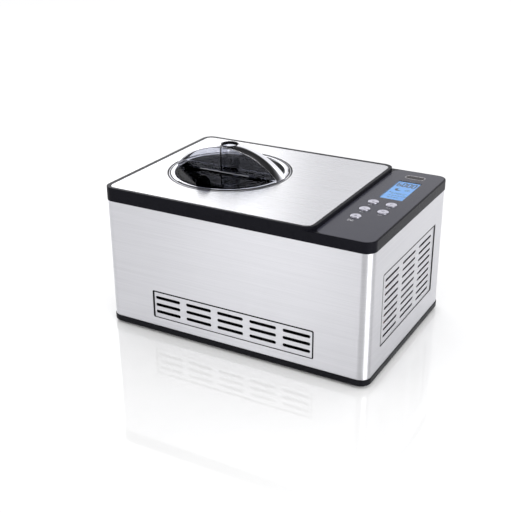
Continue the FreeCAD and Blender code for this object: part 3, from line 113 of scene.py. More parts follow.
class Axis(Enum):
    """Directions along which a block's rounded edges or a drum lie."""

    X = 0
    Y = 1
    Z = 2

    def turn(self) -> Matrix:
        """Gives the turn that lays an upright drum along this axis."""
        if self is Axis.X:
            return Matrix.Rotation(math.pi / 2, 4, "Y")
        if self is Axis.Y:
            return Matrix.Rotation(math.pi / 2, 4, "X")
        return Matrix.Identity(4)


class Face(Enum):
    """Outer faces of the case that carry a vent field."""

    FRONT = "front"
    RIGHT = "right"

    def placing(self, distance: float) -> Matrix:
        """Gives the transform from (across, outward, up) at this face to the frame.

        Args:
            distance: how far the face lies from the middle of the case.

        Returns:
            The 4x4 transform.
        """
        if self is Face.FRONT:
            rows = ((1, 0, 0, 0), (0, -1, 0, -distance), (0, 0, 1, 0), (0, 0, 0, 1))
        else:
            rows = ((0, 1, 0, distance), (1, 0, 0, 0), (0, 0, 1, 0), (0, 0, 0, 1))
        return Matrix(rows)


@dataclass(frozen=True)
class NodeBox:
    """Box of one of the frame's nodes at rest, in millimetres."""

    low: tuple[float, ...]
    high: tuple[float, ...]

    @classmethod
    def of(cls, node: str) -> "NodeBox":
        """Reads a node's box from the frame.

        Args:
            node: the node's name.

        Returns:
            The box.
        """
        low, high = (tuple(round(value / MM, 3) for value in corner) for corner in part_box(node))
        return cls(low, high)

    @property
    def middle(self) -> tuple[float, ...]:
        """Gives the middle, to a tenth, so that a many-sided drum's middle is its axis."""
        return tuple(round((a + b) / 2, 1) for a, b in zip(self.low, self.high))

    @property
    def size(self) -> tuple[float, ...]:
        """Gives the width, depth and height."""
        return tuple(round(b - a, 3) for a, b in zip(self.low, self.high))


WRAPPER_BOX = NodeBox.of("body_wrapper")
TRAY_BOX = NodeBox.of("base_tray")
HOUSING_BOX = NodeBox.of("top_housing")
RING_BOX = NodeBox.of("well_ring")
OVERLAY_BOX = NodeBox.of("control_overlay")
WINDOW_BOX = NodeBox.of("display_window")
SCREEN_BOX = NodeBox.of("display_module")
BADGE_BOX = NodeBox.of("badge")
DISC_BOX = NodeBox.of("lid_disc")
STRAP_BOX = NodeBox.of("handle_strap")
ARCH_BOX = NodeBox.of("lid_arch")
PIN_BOX = NodeBox.of("flap_pin")


# ---------------------------------------------------------------- finishes


class Nodes:
    """Node tree of one material, with short calls for the nodes that the finishes share."""

    def __init__(self, material: bpy.types.Material) -> None:
        """Opens a material's tree.

        Args:
            material: a material that uses nodes.
        """
        self.tree = material.node_tree
        self.shader = self.tree.nodes["Principled BSDF"]

    def add(self, kind: str, values: Optional[dict] = None, **settings: object) -> bpy.types.Node:
        """Adds a node.

        Args:
            kind: the node's type name without its ShaderNode prefix.
            values: input values by socket name.
            settings: properties of the node.

        Returns:
            The node.
        """
        node = self.tree.nodes.new("ShaderNode" + kind)
        for name, value in settings.items():
            setattr(node, name, value)
        for name, value in (values or {}).items():
            node.inputs[name].default_value = value
        return node

    def link(self, source: bpy.types.NodeSocket, node: bpy.types.Node, name: str) -> None:
        """Joins an output to a node's named input."""
        self.tree.links.new(source, node.inputs[name])

    def set(self, **values: object) -> None:
        """Sets sockets of the shader; underscores in the names stand for spaces."""
        for name, value in values.items():
            self.shader.inputs[name.replace("_", " ")].default_value = value

    def noise(self, scale: Point, detail: float = 3.0,
              offset: Point = (0.0, 0.0, 0.0)) -> bpy.types.NodeSocket:
        """Adds noise on the piece's own coordinates.

        Args:
            scale: waves per metre along each axis.
            detail: octaves of finer noise.
            offset: shift of the pattern.

        Returns:
            The noise value, from 0 to 1.
        """
        where = self.add("TexCoord")
        spread = self.add("Mapping", {"Scale": tuple(scale), "Location": tuple(offset)})
        self.link(where.outputs["Object"], spread, "Vector")
        made = self.add("TexNoise", {"Scale": 1.0, "Detail": detail, "Roughness": 0.6})
        self.link(spread.outputs["Vector"], made, "Vector")
        return made.outputs["Fac"]

    def cells(self, scale: Point) -> bpy.types.NodeSocket:
        """Adds a cell pattern on the piece's own coordinates and gives its distance value."""
        where = self.add("TexCoord")
        spread = self.add("Mapping", {"Scale": tuple(scale)})
        self.link(where.outputs["Object"], spread, "Vector")
        made = self.add("TexVoronoi", {"Scale": 1.0})
        self.link(spread.outputs["Vector"], made, "Vector")
        return made.outputs["Distance"]

    def span(self, source: bpy.types.NodeSocket, low: float, high: float,
             start: float = 0.3, end: float = 0.7) -> bpy.types.NodeSocket:
        """Maps a value from start..end to low..high."""
        node = self.add("MapRange", {"From Min": start, "From Max": end, "To Min": low, "To Max": high})
        self.link(source, node, "Value")
        return node.outputs["Result"]

    def blend(self, first: bpy.types.NodeSocket, second: bpy.types.NodeSocket,
              share: float) -> bpy.types.NodeSocket:
        """Gives first plus second times share."""
        node = self.add("Math", operation="MULTIPLY_ADD")
        self.tree.links.new(second, node.inputs[0])
        node.inputs[1].default_value = share
        self.tree.links.new(first, node.inputs[2])
        return node.outputs[0]

    def tint(self, source: bpy.types.NodeSocket, low: Colour, high: Colour,
             start: float = 0.3, end: float = 0.7) -> bpy.types.NodeSocket:
        """Turns a value into a colour between two colours."""
        ramp = self.add("ValToRGB")
        first, last = ramp.color_ramp.elements
        first.position, last.position = start, end
        first.color, last.color = (*low, 1.0), (*high, 1.0)
        self.link(source, ramp, "Fac")
        return ramp.outputs["Color"]

    def colour(self, source: bpy.types.NodeSocket) -> None:
        """Gives the shader its base colour."""
        self.link(source, self.shader, "Base Color")

    def roughness(self, source: bpy.types.NodeSocket) -> None:
        """Gives the shader its roughness."""
        self.link(source, self.shader, "Roughness")

    def bump(self, height: bpy.types.NodeSocket, strength: float, distance: float) -> None:
        """Gives the shader a relief.

        Args:
            height: the relief's height.
            strength: how much of it shows.
            distance: height of the relief in metres.
        """
        node = self.add("Bump", {"Strength": strength, "Distance": distance})
        self.link(height, node, "Height")
        self.link(node.outputs["Normal"], self.shader, "Normal")


@dataclass(frozen=True)
class Finish:
    """What every finish has: a name, and a way to become a material."""

    name: str

    def material(self) -> bpy.types.Material:
        """Gives the finish's material, which is made once."""
        found = bpy.data.materials.get(self.name)
        if found is None:
            found = bpy.data.materials.new(self.name)
            found.use_nodes = True
            self.dress(Nodes(found))
        return found

    def dress(self, nodes: Nodes) -> None:
        """Fills the material's tree."""
        raise NotImplementedError


@dataclass(frozen=True)
class BrushedMetal(Finish):
    """Sheet with a fine straight grain that spreads its highlights across the grain."""

    tone: Colour = (0.66, 0.66, 0.685)
    deep: Colour = (0.60, 0.60, 0.625)
    grain: Point = (7.0, 7.0, 1500.0)
    streak: Point = (4.0, 4.0, 330.0)
    matt: tuple[float, float] = (0.36, 0.42)
    stretch: float = 0.88
    around: str = "Z"

    def dress(self, nodes: Nodes) -> None:
        """Fills the material's tree with hairlines, slow cloudiness and a stretched highlight."""
        fine = nodes.noise(self.grain, 2.0)
        broad = nodes.noise(self.streak, 3.0, (3.1, 1.7, 0.4))
        cloud = nodes.noise((9.0, 9.0, 9.0), 2.0, (0.3, 0.9, 0.2))
        lines = nodes.blend(fine, broad, 0.7)
        nodes.colour(nodes.tint(lines, self.deep, self.tone, 0.6, 1.1))
        nodes.roughness(nodes.span(nodes.blend(lines, cloud, 0.5), self.matt[0], self.matt[1], 0.8, 1.4))
        nodes.set(Metallic=1.0, Anisotropic=self.stretch, Anisotropic_Rotation=0.25)
        course = nodes.add("Tangent", direction_type="RADIAL", axis=self.around)
        nodes.link(course.outputs["Tangent"], nodes.shader, "Tangent")
        nodes.bump(lines, 0.06, 0.00002)


@dataclass(frozen=True)
class SmoothMetal(Finish):
    """Polished, plated or cast metal with faint smudges and pits."""

    tone: Colour = (0.84, 0.84, 0.86)
    deep: Colour = (0.74, 0.74, 0.77)
    matt: tuple[float, float] = (0.05, 0.11)
    pits: float = 900.0
    relief: float = 0.02

    def dress(self, nodes: Nodes) -> None:
        """Fills the material's tree with smudged gloss and a fine relief."""
        smudge = nodes.noise((35.0, 35.0, 35.0), 4.0)
        pit = nodes.noise((self.pits,) * 3, 2.0)
        nodes.colour(nodes.tint(smudge, self.deep, self.tone))
        nodes.roughness(nodes.span(nodes.blend(smudge, pit, 0.3), self.matt[0], self.matt[1], 0.4, 0.9))
        nodes.set(Metallic=1.0)
        nodes.bump(pit, self.relief, 0.00003)


@dataclass(frozen=True)
class Plastic(Finish):
    """Moulded plastic, rubber, foam or enamel: a fine texture with slow variation."""

    tone: Colour = (0.02, 0.02, 0.022)
    deep: Colour = (0.015, 0.015, 0.017)
    matt: tuple[float, float] = (0.3, 0.4)
    texture: float = 1600.0
    relief: float = 0.08
    depth: float = 0.00004
    shine: float = 0.5
    coat: float = 0.0

    def dress(self, nodes: Nodes) -> None:
        """Fills the material's tree with a spark-eroded texture and uneven gloss."""
        slow = nodes.noise((28.0, 28.0, 28.0), 3.0)
        fine = nodes.noise((self.texture,) * 3, 2.0)
        nodes.colour(nodes.tint(nodes.blend(slow, fine, 0.4), self.deep, self.tone, 0.45, 0.95))
        nodes.roughness(nodes.span(nodes.blend(slow, fine, 0.3), self.matt[0], self.matt[1], 0.4, 0.9))
        nodes.set(Specular_IOR_Level=self.shine, Coat_Weight=self.coat, Coat_Roughness=0.06)
        nodes.bump(fine, self.relief, self.depth)


@dataclass(frozen=True)
class ClearPlastic(Finish):
    """Tinted transparent plastic with faint wipe marks."""

    tint_low: Colour = (0.5, 0.52, 0.56)
    tint_high: Colour = (0.58, 0.6, 0.64)
    matt: tuple[float, float] = (0.01, 0.05)
    ior: float = 1.49

    def dress(self, nodes: Nodes) -> None:
        """Fills the material's tree with see-through plastic and its wipe marks."""
        slow = nodes.noise((22.0, 60.0, 22.0), 3.0)
        fine = nodes.noise((300.0, 60.0, 300.0), 2.0)
        nodes.colour(nodes.tint(slow, self.tint_low, self.tint_high))
        nodes.roughness(nodes.span(nodes.blend(slow, fine, 0.4), self.matt[0], self.matt[1], 0.5, 0.95))
        nodes.set(Transmission_Weight=1.0, IOR=self.ior)

@dataclass(frozen=True)
class LitScreen(Finish):
    """Back-lit liquid crystal screen with a fine dot grid."""

    glow_low: Colour = (0.10, 0.33, 0.76)
    glow_high: Colour = (0.13, 0.40, 0.86)
    strength: float = 0.92

    def dress(self, nodes: Nodes) -> None:
        """Fills the material's tree with an even glow, a dot grid and slow clouding."""
        cloud = nodes.noise((40.0, 40.0, 40.0), 1.0)
        dots = nodes.cells((1800.0, 1800.0, 1800.0))
        glow = nodes.tint(nodes.blend(cloud, dots, 0.2), self.glow_low, self.glow_high, 0.35, 0.8)
        nodes.colour(nodes.tint(cloud, (0.02, 0.05, 0.10), (0.03, 0.07, 0.13)))
        nodes.link(glow, nodes.shader, "Emission Color")
        nodes.set(Emission_Strength=self.strength, Specular_IOR_Level=0.2)
        nodes.roughness(nodes.span(dots, 0.3, 0.4))


@dataclass(frozen=True)
class CircuitBoard(Finish):
    """Lacquered board with a faint pattern of copper tracks."""

    lacquer: Colour = (0.015, 0.13, 0.045)
    track: Colour = (0.03, 0.24, 0.09)

    def dress(self, nodes: Nodes) -> None:
        """Fills the material's tree with straight tracks under a glossy lacquer."""
        where = nodes.add("TexCoord")
        spread = nodes.add("Mapping", {"Scale": (220.0, 220.0, 220.0)})
        nodes.link(where.outputs["Object"], spread, "Vector")
        tracks = nodes.add("TexBrick", {"Scale": 1.0, "Mortar Size": 0.12})
        nodes.link(spread.outputs["Vector"], tracks, "Vector")
        nodes.colour(nodes.tint(tracks.outputs["Fac"], self.lacquer, self.track, 0.0, 1.0))
        nodes.roughness(nodes.span(nodes.noise((60.0,) * 3), 0.2, 0.35))
        nodes.bump(tracks.outputs["Fac"], 0.3, 0.00004)


BRUSHED_SIDES = BrushedMetal("brushed_sides")
BRUSHED_TOP = BrushedMetal("brushed_top_sheet", tone=(0.79, 0.79, 0.805), deep=(0.75, 0.75, 0.765),
                           grain=(7.0, 1500.0, 7.0), streak=(4.0, 330.0, 4.0), around="Y",
                           matt=(0.24, 0.29))
BAND_BLACK = Plastic("band_gloss_black", tone=(0.0065, 0.0065, 0.0095), deep=(0.005, 0.005, 0.0075),
                     matt=(0.24, 0.32), relief=0.03, shine=0.05)
TRAY_BLACK = Plastic("tray_black_moulding", tone=(0.006, 0.006, 0.008), deep=(0.004, 0.004, 0.006),
                     shine=0.08)
PANEL_GREY = Plastic("panel_dark_grey", tone=(0.036, 0.036, 0.050), deep=(0.030, 0.030, 0.043),
                     matt=(0.2, 0.27), relief=0.02, shine=0.15)
CHROME = SmoothMetal("strap_bright_chrome")
RING_CHROME = SmoothMetal("ring_satin_chrome", tone=(0.72, 0.72, 0.75), deep=(0.62, 0.62, 0.65),
                          matt=(0.12, 0.2))
BUTTON_SILVER = SmoothMetal("button_silver_lacquer", tone=(0.62, 0.61, 0.68), deep=(0.54, 0.53, 0.60),
                            matt=(0.24, 0.34), relief=0.05)
LID_SMOKE = ClearPlastic("lid_smoked_clear", (0.055, 0.057, 0.075), (0.09, 0.093, 0.12), ior=1.06)
FLAP_SMOKE = ClearPlastic("flap_smoked_clear", (0.13, 0.135, 0.16), (0.19, 0.195, 0.23), ior=1.06)
ARCH_CLEAR = ClearPlastic("arch_clear", (0.66, 0.67, 0.71), (0.76, 0.77, 0.81), ior=1.3)
SCREEN_GLASS = ClearPlastic("screen_cover", (0.93, 0.95, 0.97), (0.97, 0.98, 0.99), (0.01, 0.03), 1.12)
PIN_DARK = SmoothMetal("hinge_pin_blackened", tone=(0.36, 0.36, 0.38), deep=(0.28, 0.28, 0.30),
                       matt=(0.3, 0.4))
SIGN_GREY = Plastic("sign_mid_grey", tone=(0.26, 0.26, 0.30), deep=(0.20, 0.20, 0.24), matt=(0.4, 0.5))
SCREEN_LIT = LitScreen("screen_lit_blue")
PRINT_LIGHT = Plastic("printed_light_grey", tone=(0.55, 0.55, 0.58), deep=(0.45, 0.45, 0.48), matt=(0.5, 0.6))
PRINT_DARK = Plastic("printed_dark", tone=(0.008, 0.014, 0.03), deep=(0.005, 0.010, 0.022), shine=0.1)
# Near-black used as painted shade: the strips in the vent grooves, the cord in the ring's groove and the ring
# in the tube's mouth; also the lock marks' own colour.
SHADE_AND_MARK_BLACK = Plastic("shade_and_mark_black", tone=(0.006, 0.006, 0.007), deep=(0.004, 0.004, 0.005), shine=0.1)
BADGE_RIM = SmoothMetal("badge_rim_dark_chrome", tone=(0.30, 0.29, 0.30), deep=(0.22, 0.21, 0.22),
                        matt=(0.12, 0.2))
BADGE_FACE = Plastic("badge_face", tone=(0.016, 0.013, 0.014), deep=(0.010, 0.008, 0.009), matt=(0.2, 0.3),
                     shine=0.08)

SLOT_FINISH: dict[Slot, Finish] = {
    Slot.TRAY: TRAY_BLACK,
    Slot.BODY: BRUSHED_SIDES,
    Slot.PLAIN_STEEL: BrushedMetal("rear_rolled_steel", tone=(0.50, 0.51, 0.52), deep=(0.42, 0.43, 0.44),
                                   matt=(0.36, 0.46), stretch=0.3),
    Slot.SCREWS: SmoothMetal("screw_zinc", tone=(0.6, 0.6, 0.62), deep=(0.45, 0.45, 0.48), matt=(0.2, 0.35)),
    Slot.BAND: BAND_BLACK,
    Slot.TOP: BRUSHED_TOP,
    Slot.PANEL: PANEL_GREY,
    Slot.SCREEN_CLEAR: SCREEN_GLASS,
    Slot.SCREEN_BLUE: SCREEN_LIT,
    Slot.BADGE: BADGE_RIM,
    Slot.BOARD: CircuitBoard("circuit_board"),
    Slot.SWITCH: Plastic("switch_caps", tone=(0.02, 0.02, 0.02)),
    Slot.RING: RING_CHROME,
    Slot.WELL: SmoothMetal("well_drawn_aluminium", tone=(0.66, 0.67, 0.68), deep=(0.56, 0.57, 0.58),
                           matt=(0.28, 0.4), relief=0.1),
    Slot.COPPER: SmoothMetal("copper_tube", tone=(0.80, 0.40, 0.24), deep=(0.58, 0.26, 0.15),
                             matt=(0.18, 0.34)),
    Slot.FOAM: Plastic("foam_block", tone=(0.82, 0.74, 0.50), deep=(0.68, 0.60, 0.38), matt=(0.85, 0.95),
                       texture=500.0, relief=0.6, depth=0.0006, shine=0.2),
    Slot.COMPRESSOR: Plastic("compressor_enamel", tone=(0.02, 0.02, 0.021), matt=(0.25, 0.35), texture=700.0,
                             relief=0.2, coat=0.4),
    Slot.RUBBER: Plastic("black_rubber", tone=(0.03, 0.03, 0.03), deep=(0.02, 0.02, 0.02), matt=(0.65, 0.8),
                         relief=0.2),
    Slot.FINS: SmoothMetal("fin_aluminium_sheet", tone=(0.75, 0.75, 0.76), deep=(0.62, 0.62, 0.64),
                           matt=(0.3, 0.4)),
    Slot.FAN: Plastic("fan_black_moulding", tone=(0.035, 0.035, 0.037), matt=(0.4, 0.5)),
    Slot.GEARBOX: Plastic("gearbox_grey_moulding", tone=(0.33, 0.34, 0.35), deep=(0.27, 0.28, 0.29),
                          matt=(0.4, 0.5), relief=0.2),
    Slot.SHAFT: SmoothMetal("ground_steel", tone=(0.62, 0.62, 0.63), deep=(0.5, 0.5, 0.52),
                            matt=(0.14, 0.24)),
    Slot.BRONZE: SmoothMetal("sintered_bronze", tone=(0.62, 0.42, 0.18), deep=(0.45, 0.30, 0.12),
                             matt=(0.3, 0.45),
                             pits=2200.0, relief=0.2),
    Slot.MOTOR: SmoothMetal("motor_can_steel", tone=(0.5, 0.5, 0.52), deep=(0.4, 0.4, 0.42),
                            matt=(0.26, 0.36)),
    Slot.SOCKET: Plastic("socket_moulding", tone=(0.02, 0.02, 0.02), matt=(0.4, 0.5)),
    Slot.RIBBON: Plastic("ribbon_jacket", tone=(0.5, 0.5, 0.52), deep=(0.4, 0.4, 0.42), matt=(0.5, 0.6)),
    Slot.GEAR: Plastic("acetal_white", tone=(0.84, 0.84, 0.80), deep=(0.76, 0.76, 0.72), matt=(0.3, 0.4)),
    Slot.BOWL: BrushedMetal("bowl_anodised", tone=(0.62, 0.62, 0.63), deep=(0.52, 0.52, 0.54),
                            matt=(0.24, 0.36), stretch=0.4),
    Slot.PADDLE: Plastic("paddle_milky", tone=(0.72, 0.73, 0.75), deep=(0.62, 0.63, 0.66), matt=(0.25, 0.35)),
    Slot.SILICONE: Plastic("silicone_grey", tone=(0.62, 0.62, 0.63), deep=(0.52, 0.52, 0.54),
                           matt=(0.5, 0.62)),
    Slot.LID: LID_SMOKE,
    Slot.FLAP: FLAP_SMOKE,
    Slot.STRAP: CHROME,
    Slot.BUTTON: BUTTON_SILVER,
}

CARRIED_NODES: dict[Slot, tuple[str, ...]] = {
    Slot.PLAIN_STEEL: ("rear_panel",),
    Slot.SCREWS: ("case_screws",),
    Slot.BOARD: ("control_board", "power_board"),
    Slot.SWITCH: ("key_switches",),
    Slot.WELL: ("cooling_well",),
    Slot.COPPER: ("evaporator_coil", "condenser_tubes", "filter_drier", "discharge_line", "suction_line",
                  "liquid_line"),
    Slot.FOAM: ("insulation_block",),
    Slot.COMPRESSOR: ("compressor",),
    Slot.RUBBER: ("compressor_grommets", "shaft_seal"),
    Slot.FINS: ("condenser_fins",),
    Slot.FAN: ("fan_shroud", "fan_motor", "fan_rotor"),
    Slot.GEARBOX: ("gearbox_case", "gearbox_cover", "gearbox_stands"),
    Slot.SHAFT: ("idler_pin", "drive_shaft"),
    Slot.BRONZE: ("shaft_bushes", "motor_pinion"),
    Slot.MOTOR: ("drive_motor",),
    Slot.SOCKET: ("power_inlet",),
    Slot.RIBBON: ("ribbon_cable",),
    Slot.GEAR: ("output_gear", "idler_gear", "thrust_washer"),
    Slot.BOWL: ("ice_bowl",),
    Slot.PADDLE: ("mixing_paddle",),
    Slot.SILICONE: ("paddle_scrapers", "lid_seal"),
}


# ---------------------------------------------------------------- mesh making


class Solid:
    """A mesh being shaped in millimetres with mesh operators."""

    def __init__(self) -> None:
        """Starts with nothing."""
        self.bm = bmesh.new()

    @classmethod
    def block(cls, low: Point, high: Point, corner: float = 0.0, steps: int = 8,
              axis: Axis = Axis.Z) -> "Solid":
        """Makes a block whose four edges along one axis may be rounded.

        Args:
            low: lowest corner.
            high: highest corner.
            corner: radius of the rounded edges.
            steps: segments in each rounded edge.
            axis: direction of the rounded edges.

        Returns:
            The block.
        """
        solid = cls()
        size = [top - bottom for bottom, top in zip(low, high)]
        middle = Vector([(top + bottom) / 2 for bottom, top in zip(low, high)])
        shape = Matrix.Translation(middle) @ Matrix.Diagonal((*size, 1.0))
        bmesh.ops.create_cube(solid.bm, size=1.0, matrix=shape)
        if corner > 0.0:
            way = axis.value
            edges = [e for e in solid.bm.edges
                     if abs(e.verts[0].co[way] - e.verts[1].co[way]) > size[way] / 2]
            solid.bevel(edges, corner, steps)
        return solid

    @classmethod
    def drum(cls, radius: float, low: float, high: float, centre: Point = (0.0, 0.0),
             axis: Axis = Axis.Z, steps: int = ROUND_STEPS) -> "Solid":
        """Makes a round bar.

        Args:
            radius: its radius.
            low: where it starts along its axis.
            high: where it ends along its axis.
            centre: its other two coordinates, in the order X, Y, Z.
            axis: its direction.
            steps: sides.

        Returns:
            The bar.
        """
        solid = cls()
        place = list(centre)
        place.insert(axis.value, (low + high) / 2)
        bmesh.ops.create_cone(solid.bm, cap_ends=True, segments=steps, radius1=radius, radius2=radius,
                              depth=high - low, matrix=Matrix.Translation(Vector(place)) @ axis.turn())
        return solid

    @classmethod
    def turned(cls, profile: Sequence[tuple[float, float]], centre: Point = (0.0, 0.0), closed: bool = True,
               steps: int = ROUND_STEPS, sweep: float = math.tau, start: float = 0.0) -> "Solid":
        """Turns a profile of (radius, level) points about an upright axis.

        Args:
            profile: the outline's points in order.
            centre: X and Y of the axis.
            closed: whether the last point joins the first.
            steps: segments round the axis.
            sweep: angle turned through.
            start: angle where it starts.

        Returns:
            The turned solid.
        """
        solid = cls()
        way = Vector((math.cos(start), math.sin(start), 0.0))
        middle = Vector((centre[0], centre[1], 0.0))
        rim = [solid.bm.verts.new(middle + way * radius + Z_AXIS * level) for radius, level in profile]
        after = rim[1:] + rim[:1] if closed else rim[1:]
        edges = [solid.bm.edges.new(pair) for pair in zip(rim, after)]
        whole = abs(sweep - math.tau) < 1e-6
        bmesh.ops.spin(solid.bm, geom=rim + edges, cent=middle, axis=Z_AXIS, dvec=(0.0, 0.0, 0.0),
                       angle=sweep, steps=steps, use_merge=whole, use_normal_flip=False, use_duplicate=False)
        if not whole:
            solid.close()
        return solid.clean()

    def bevel(self, edges: list, width: float, steps: int) -> "Solid":
        """Rounds edges with the bevel operator."""
        bmesh.ops.bevel(self.bm, geom=edges, offset=width, offset_type="OFFSET", segments=steps, profile=0.5,
                        affect="EDGES", clamp_overlap=True, material=-1)
        return self

    def clean(self) -> "Solid":
        """Merges doubled points and turns the faces outward."""
        bmesh.ops.remove_doubles(self.bm, verts=self.bm.verts, dist=1e-4)
        bmesh.ops.recalc_face_normals(self.bm, faces=self.bm.faces)
        return self

    def close(self) -> "Solid":
        """Fills the open ends."""
        open_edges = [e for e in self.bm.edges if e.is_boundary]
        bmesh.ops.holes_fill(self.bm, edges=open_edges, sides=0)
        return self

    def round_edges(self, width: float, steps: int = 2, sharpest: float = 35.0,
                    wanted: Optional[Callable[[bmesh.types.BMEdge], bool]] = None) -> "Solid":
        """Rounds every edge that is sharper than an angle.

        Args:
            width: size of the rounding.
            steps: segments in it.
            sharpest: smallest angle in degrees that counts as an edge.
            wanted: a test that leaves edges out.

        Returns:
            This solid.
        """
        limit = math.radians(sharpest)
        edges = [e for e in self.bm.edges if len(e.link_faces) == 2 and e.calc_face_angle(0.0) > limit]
        if wanted is not None:
            edges = [e for e in edges if wanted(e)]
        return self.bevel(edges, width, steps)

    def move(self, shape: Matrix) -> "Solid":
        """Transforms the mesh and turns its faces outward again."""
        bmesh.ops.transform(self.bm, matrix=shape, verts=self.bm.verts)
        bmesh.ops.recalc_face_normals(self.bm, faces=self.bm.faces)
        return self

    def trim(self, point: Point, normal: Point) -> "Solid":
        """Cuts away what lies on the normal's side of a plane and closes the cut."""
        everything = list(self.bm.verts) + list(self.bm.edges) + list(self.bm.faces)
        bmesh.ops.bisect_plane(self.bm, geom=everything, plane_co=Vector(point), plane_no=Vector(normal),
                               clear_outer=True)
        return self.close().clean()

    def join(self, *others: "Solid") -> "Solid":
        """Takes in the meshes of other solids that don't touch this one."""
        for other in others:
            mesh = bpy.data.meshes.new("joined")
            other.bm.to_mesh(mesh)
            self.bm.from_mesh(mesh)
            bpy.data.meshes.remove(mesh)
        return self

    def shown(self, name: str) -> bpy.types.Object:
        """Puts the mesh into the scene as an object for a short time."""
        mesh = bpy.data.meshes.new(name)
        self.bm.to_mesh(mesh)
        held = bpy.data.objects.new(name, mesh)
        bpy.context.scene.collection.objects.link(held)
        return held

    def carve(self, tool: "Solid", way: Carve = Carve.CUT) -> "Solid":
        """Works on this solid with another.

        Args:
            tool: the other solid.
            way: whether it is cut away, added or shared.

        Returns:
            This solid.
        """
        base, cutter = self.shown("carve_base"), tool.shown("carve_tool")
        step = base.modifiers.new("carve", "BOOLEAN")
        step.operation, step.solver, step.object = way.value, "EXACT", cutter
        graph = bpy.context.evaluated_depsgraph_get()
        made = bpy.data.meshes.new_from_object(base.evaluated_get(graph))
        self.bm.clear()
        self.bm.from_mesh(made)
        for item in (base, cutter):
            mesh = item.data
            bpy.data.objects.remove(item)
            bpy.data.meshes.remove(mesh)
        bpy.data.meshes.remove(made)
        bmesh.ops.dissolve_limit(self.bm, angle_limit=math.radians(0.5), verts=self.bm.verts,
                                 edges=self.bm.edges, delimit=set())
        return self

    def publish(self, name: str, finish: Finish, body: str, slot: Slot, nodes: Iterable[str] = (),
                smooth: float = 32.0) -> bpy.types.Object:
        """Makes the finished piece.

        Args:
            name: the piece's name.
            finish: its finish.
            body: the frame's body that it rides on.
            slot: the record's slot that it takes its finish from; not used.
            nodes: nodes of the frame that it stands for.
            smooth: largest angle in degrees that is shaded as one surface.

        Returns:
            The piece's object.
        """
        self.move(Matrix.Scale(MM, 4))
        for part in self.bm.faces:
            part.smooth = True
        mesh = bpy.data.meshes.new(name)
        self.bm.to_mesh(mesh)
        self.bm.free()
        if not mesh.polygons:
            raise ValueError(name + " has no faces")
        mesh.set_sharp_from_angle(angle=math.radians(smooth))
        mesh.materials.append(finish.material())
        piece = bpy.data.objects.new(name, mesh)
        bpy.context.scene.collection.objects.link(piece)
        evened = piece.modifiers.new("even_normals", "WEIGHTED_NORMAL")
        evened.keep_sharp = True
        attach(piece, body)
        if nodes:
            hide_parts(*nodes)
        log.info("%s: %d faces on %s", name, len(mesh.polygons), body)
        return piece


def bar(centre: Point, length: float, width: float, low: float, high: float, angle: float = 0.0) -> Solid:
    """Makes a flat bar with round ends, turned about the upright axis.

    Args:
        centre: X and Y of its middle.
        length: its length.
        width: its width.
        low: level of its underside.
        high: level of its top.
        angle: its direction in degrees.

    Returns:
        The bar.
    """
    made = Solid.block((-length / 2, -width / 2, low), (length / 2, width / 2, high), width * 0.48, 3)
    turn = Matrix.Rotation(math.radians(angle), 4, "Z")
    return made.move(Matrix.Translation((centre[0], centre[1], 0.0)) @ turn)


# ---------------------------------------------------------------- the case


@dataclass(frozen=True)
class VentField:
    """A pressed field of air slots in one face of the case."""

    face: Face
    distance: float
    left: float
    right: float
    low: float
    high: float
    slot_left: float
    slot_low: float
    slot_length: float
    slot_height: float
    pitch: float
    rise: float
    columns: int
    rows: int
    recess: float = 1.0
    backing: float = 0.6
    corner: float = 2.2
    seam: float = 2.2
    low_seam: float = 0.6
    seam_depth: float = 1.45

    def stiffener(self, gauge: float) -> Solid:
        """Gives the sheet pressed back behind the field."""
        lap = 1.2
        made = Solid.block((self.left - lap, -self.recess - self.backing, self.low - lap),
                           (self.right + lap, -gauge / 2, self.high + lap))
        return made.move(self.face.placing(self.distance))

    def pressing(self) -> Solid:
        """Gives what the field's step takes out of the face."""
        made = Solid.block((self.left, -self.recess, self.low), (self.right, 1.0, self.high),
                           self.corner, 4, Axis.Y)
        return made.move(self.face.placing(self.distance))

    def border(self, top: float, bottom: float, lap: float = 0.0) -> Solid:
        """Gives the narrow frame that runs round the field.

        Args:
            top: how far out from the face it starts.
            bottom: how far in from the face it ends.
            lap: how much wider it is on each side.

        Returns:
            The frame.
        """
        frame_block = Solid.block((self.left - lap, -bottom, self.low - lap),
                                  (self.right + lap, top, self.high + lap), self.corner, 4, Axis.Y)
        inner = Solid.block((self.left + self.seam - lap, -bottom - 1.0, self.low + self.low_seam - lap),
                            (self.right - self.seam + lap, top + 1.0, self.high - self.seam + lap),
                            self.corner - 0.6, 4, Axis.Y)
        return frame_block.carve(inner).move(self.face.placing(self.distance))

    def slots(self) -> Solid:
        """Gives all the slots of the field as one cutter."""
        every = Solid()
        for column in range(self.columns):
            for row in range(self.rows):
                left = self.slot_left + column * self.pitch
                low = self.slot_low + row * self.rise
                every.join(Solid.block((left, -6.0, low),
                                       (left + self.slot_length, 2.0, low + self.slot_height),
                                       self.slot_height * 0.49, 5, Axis.Y))
        return every.move(self.face.placing(self.distance))


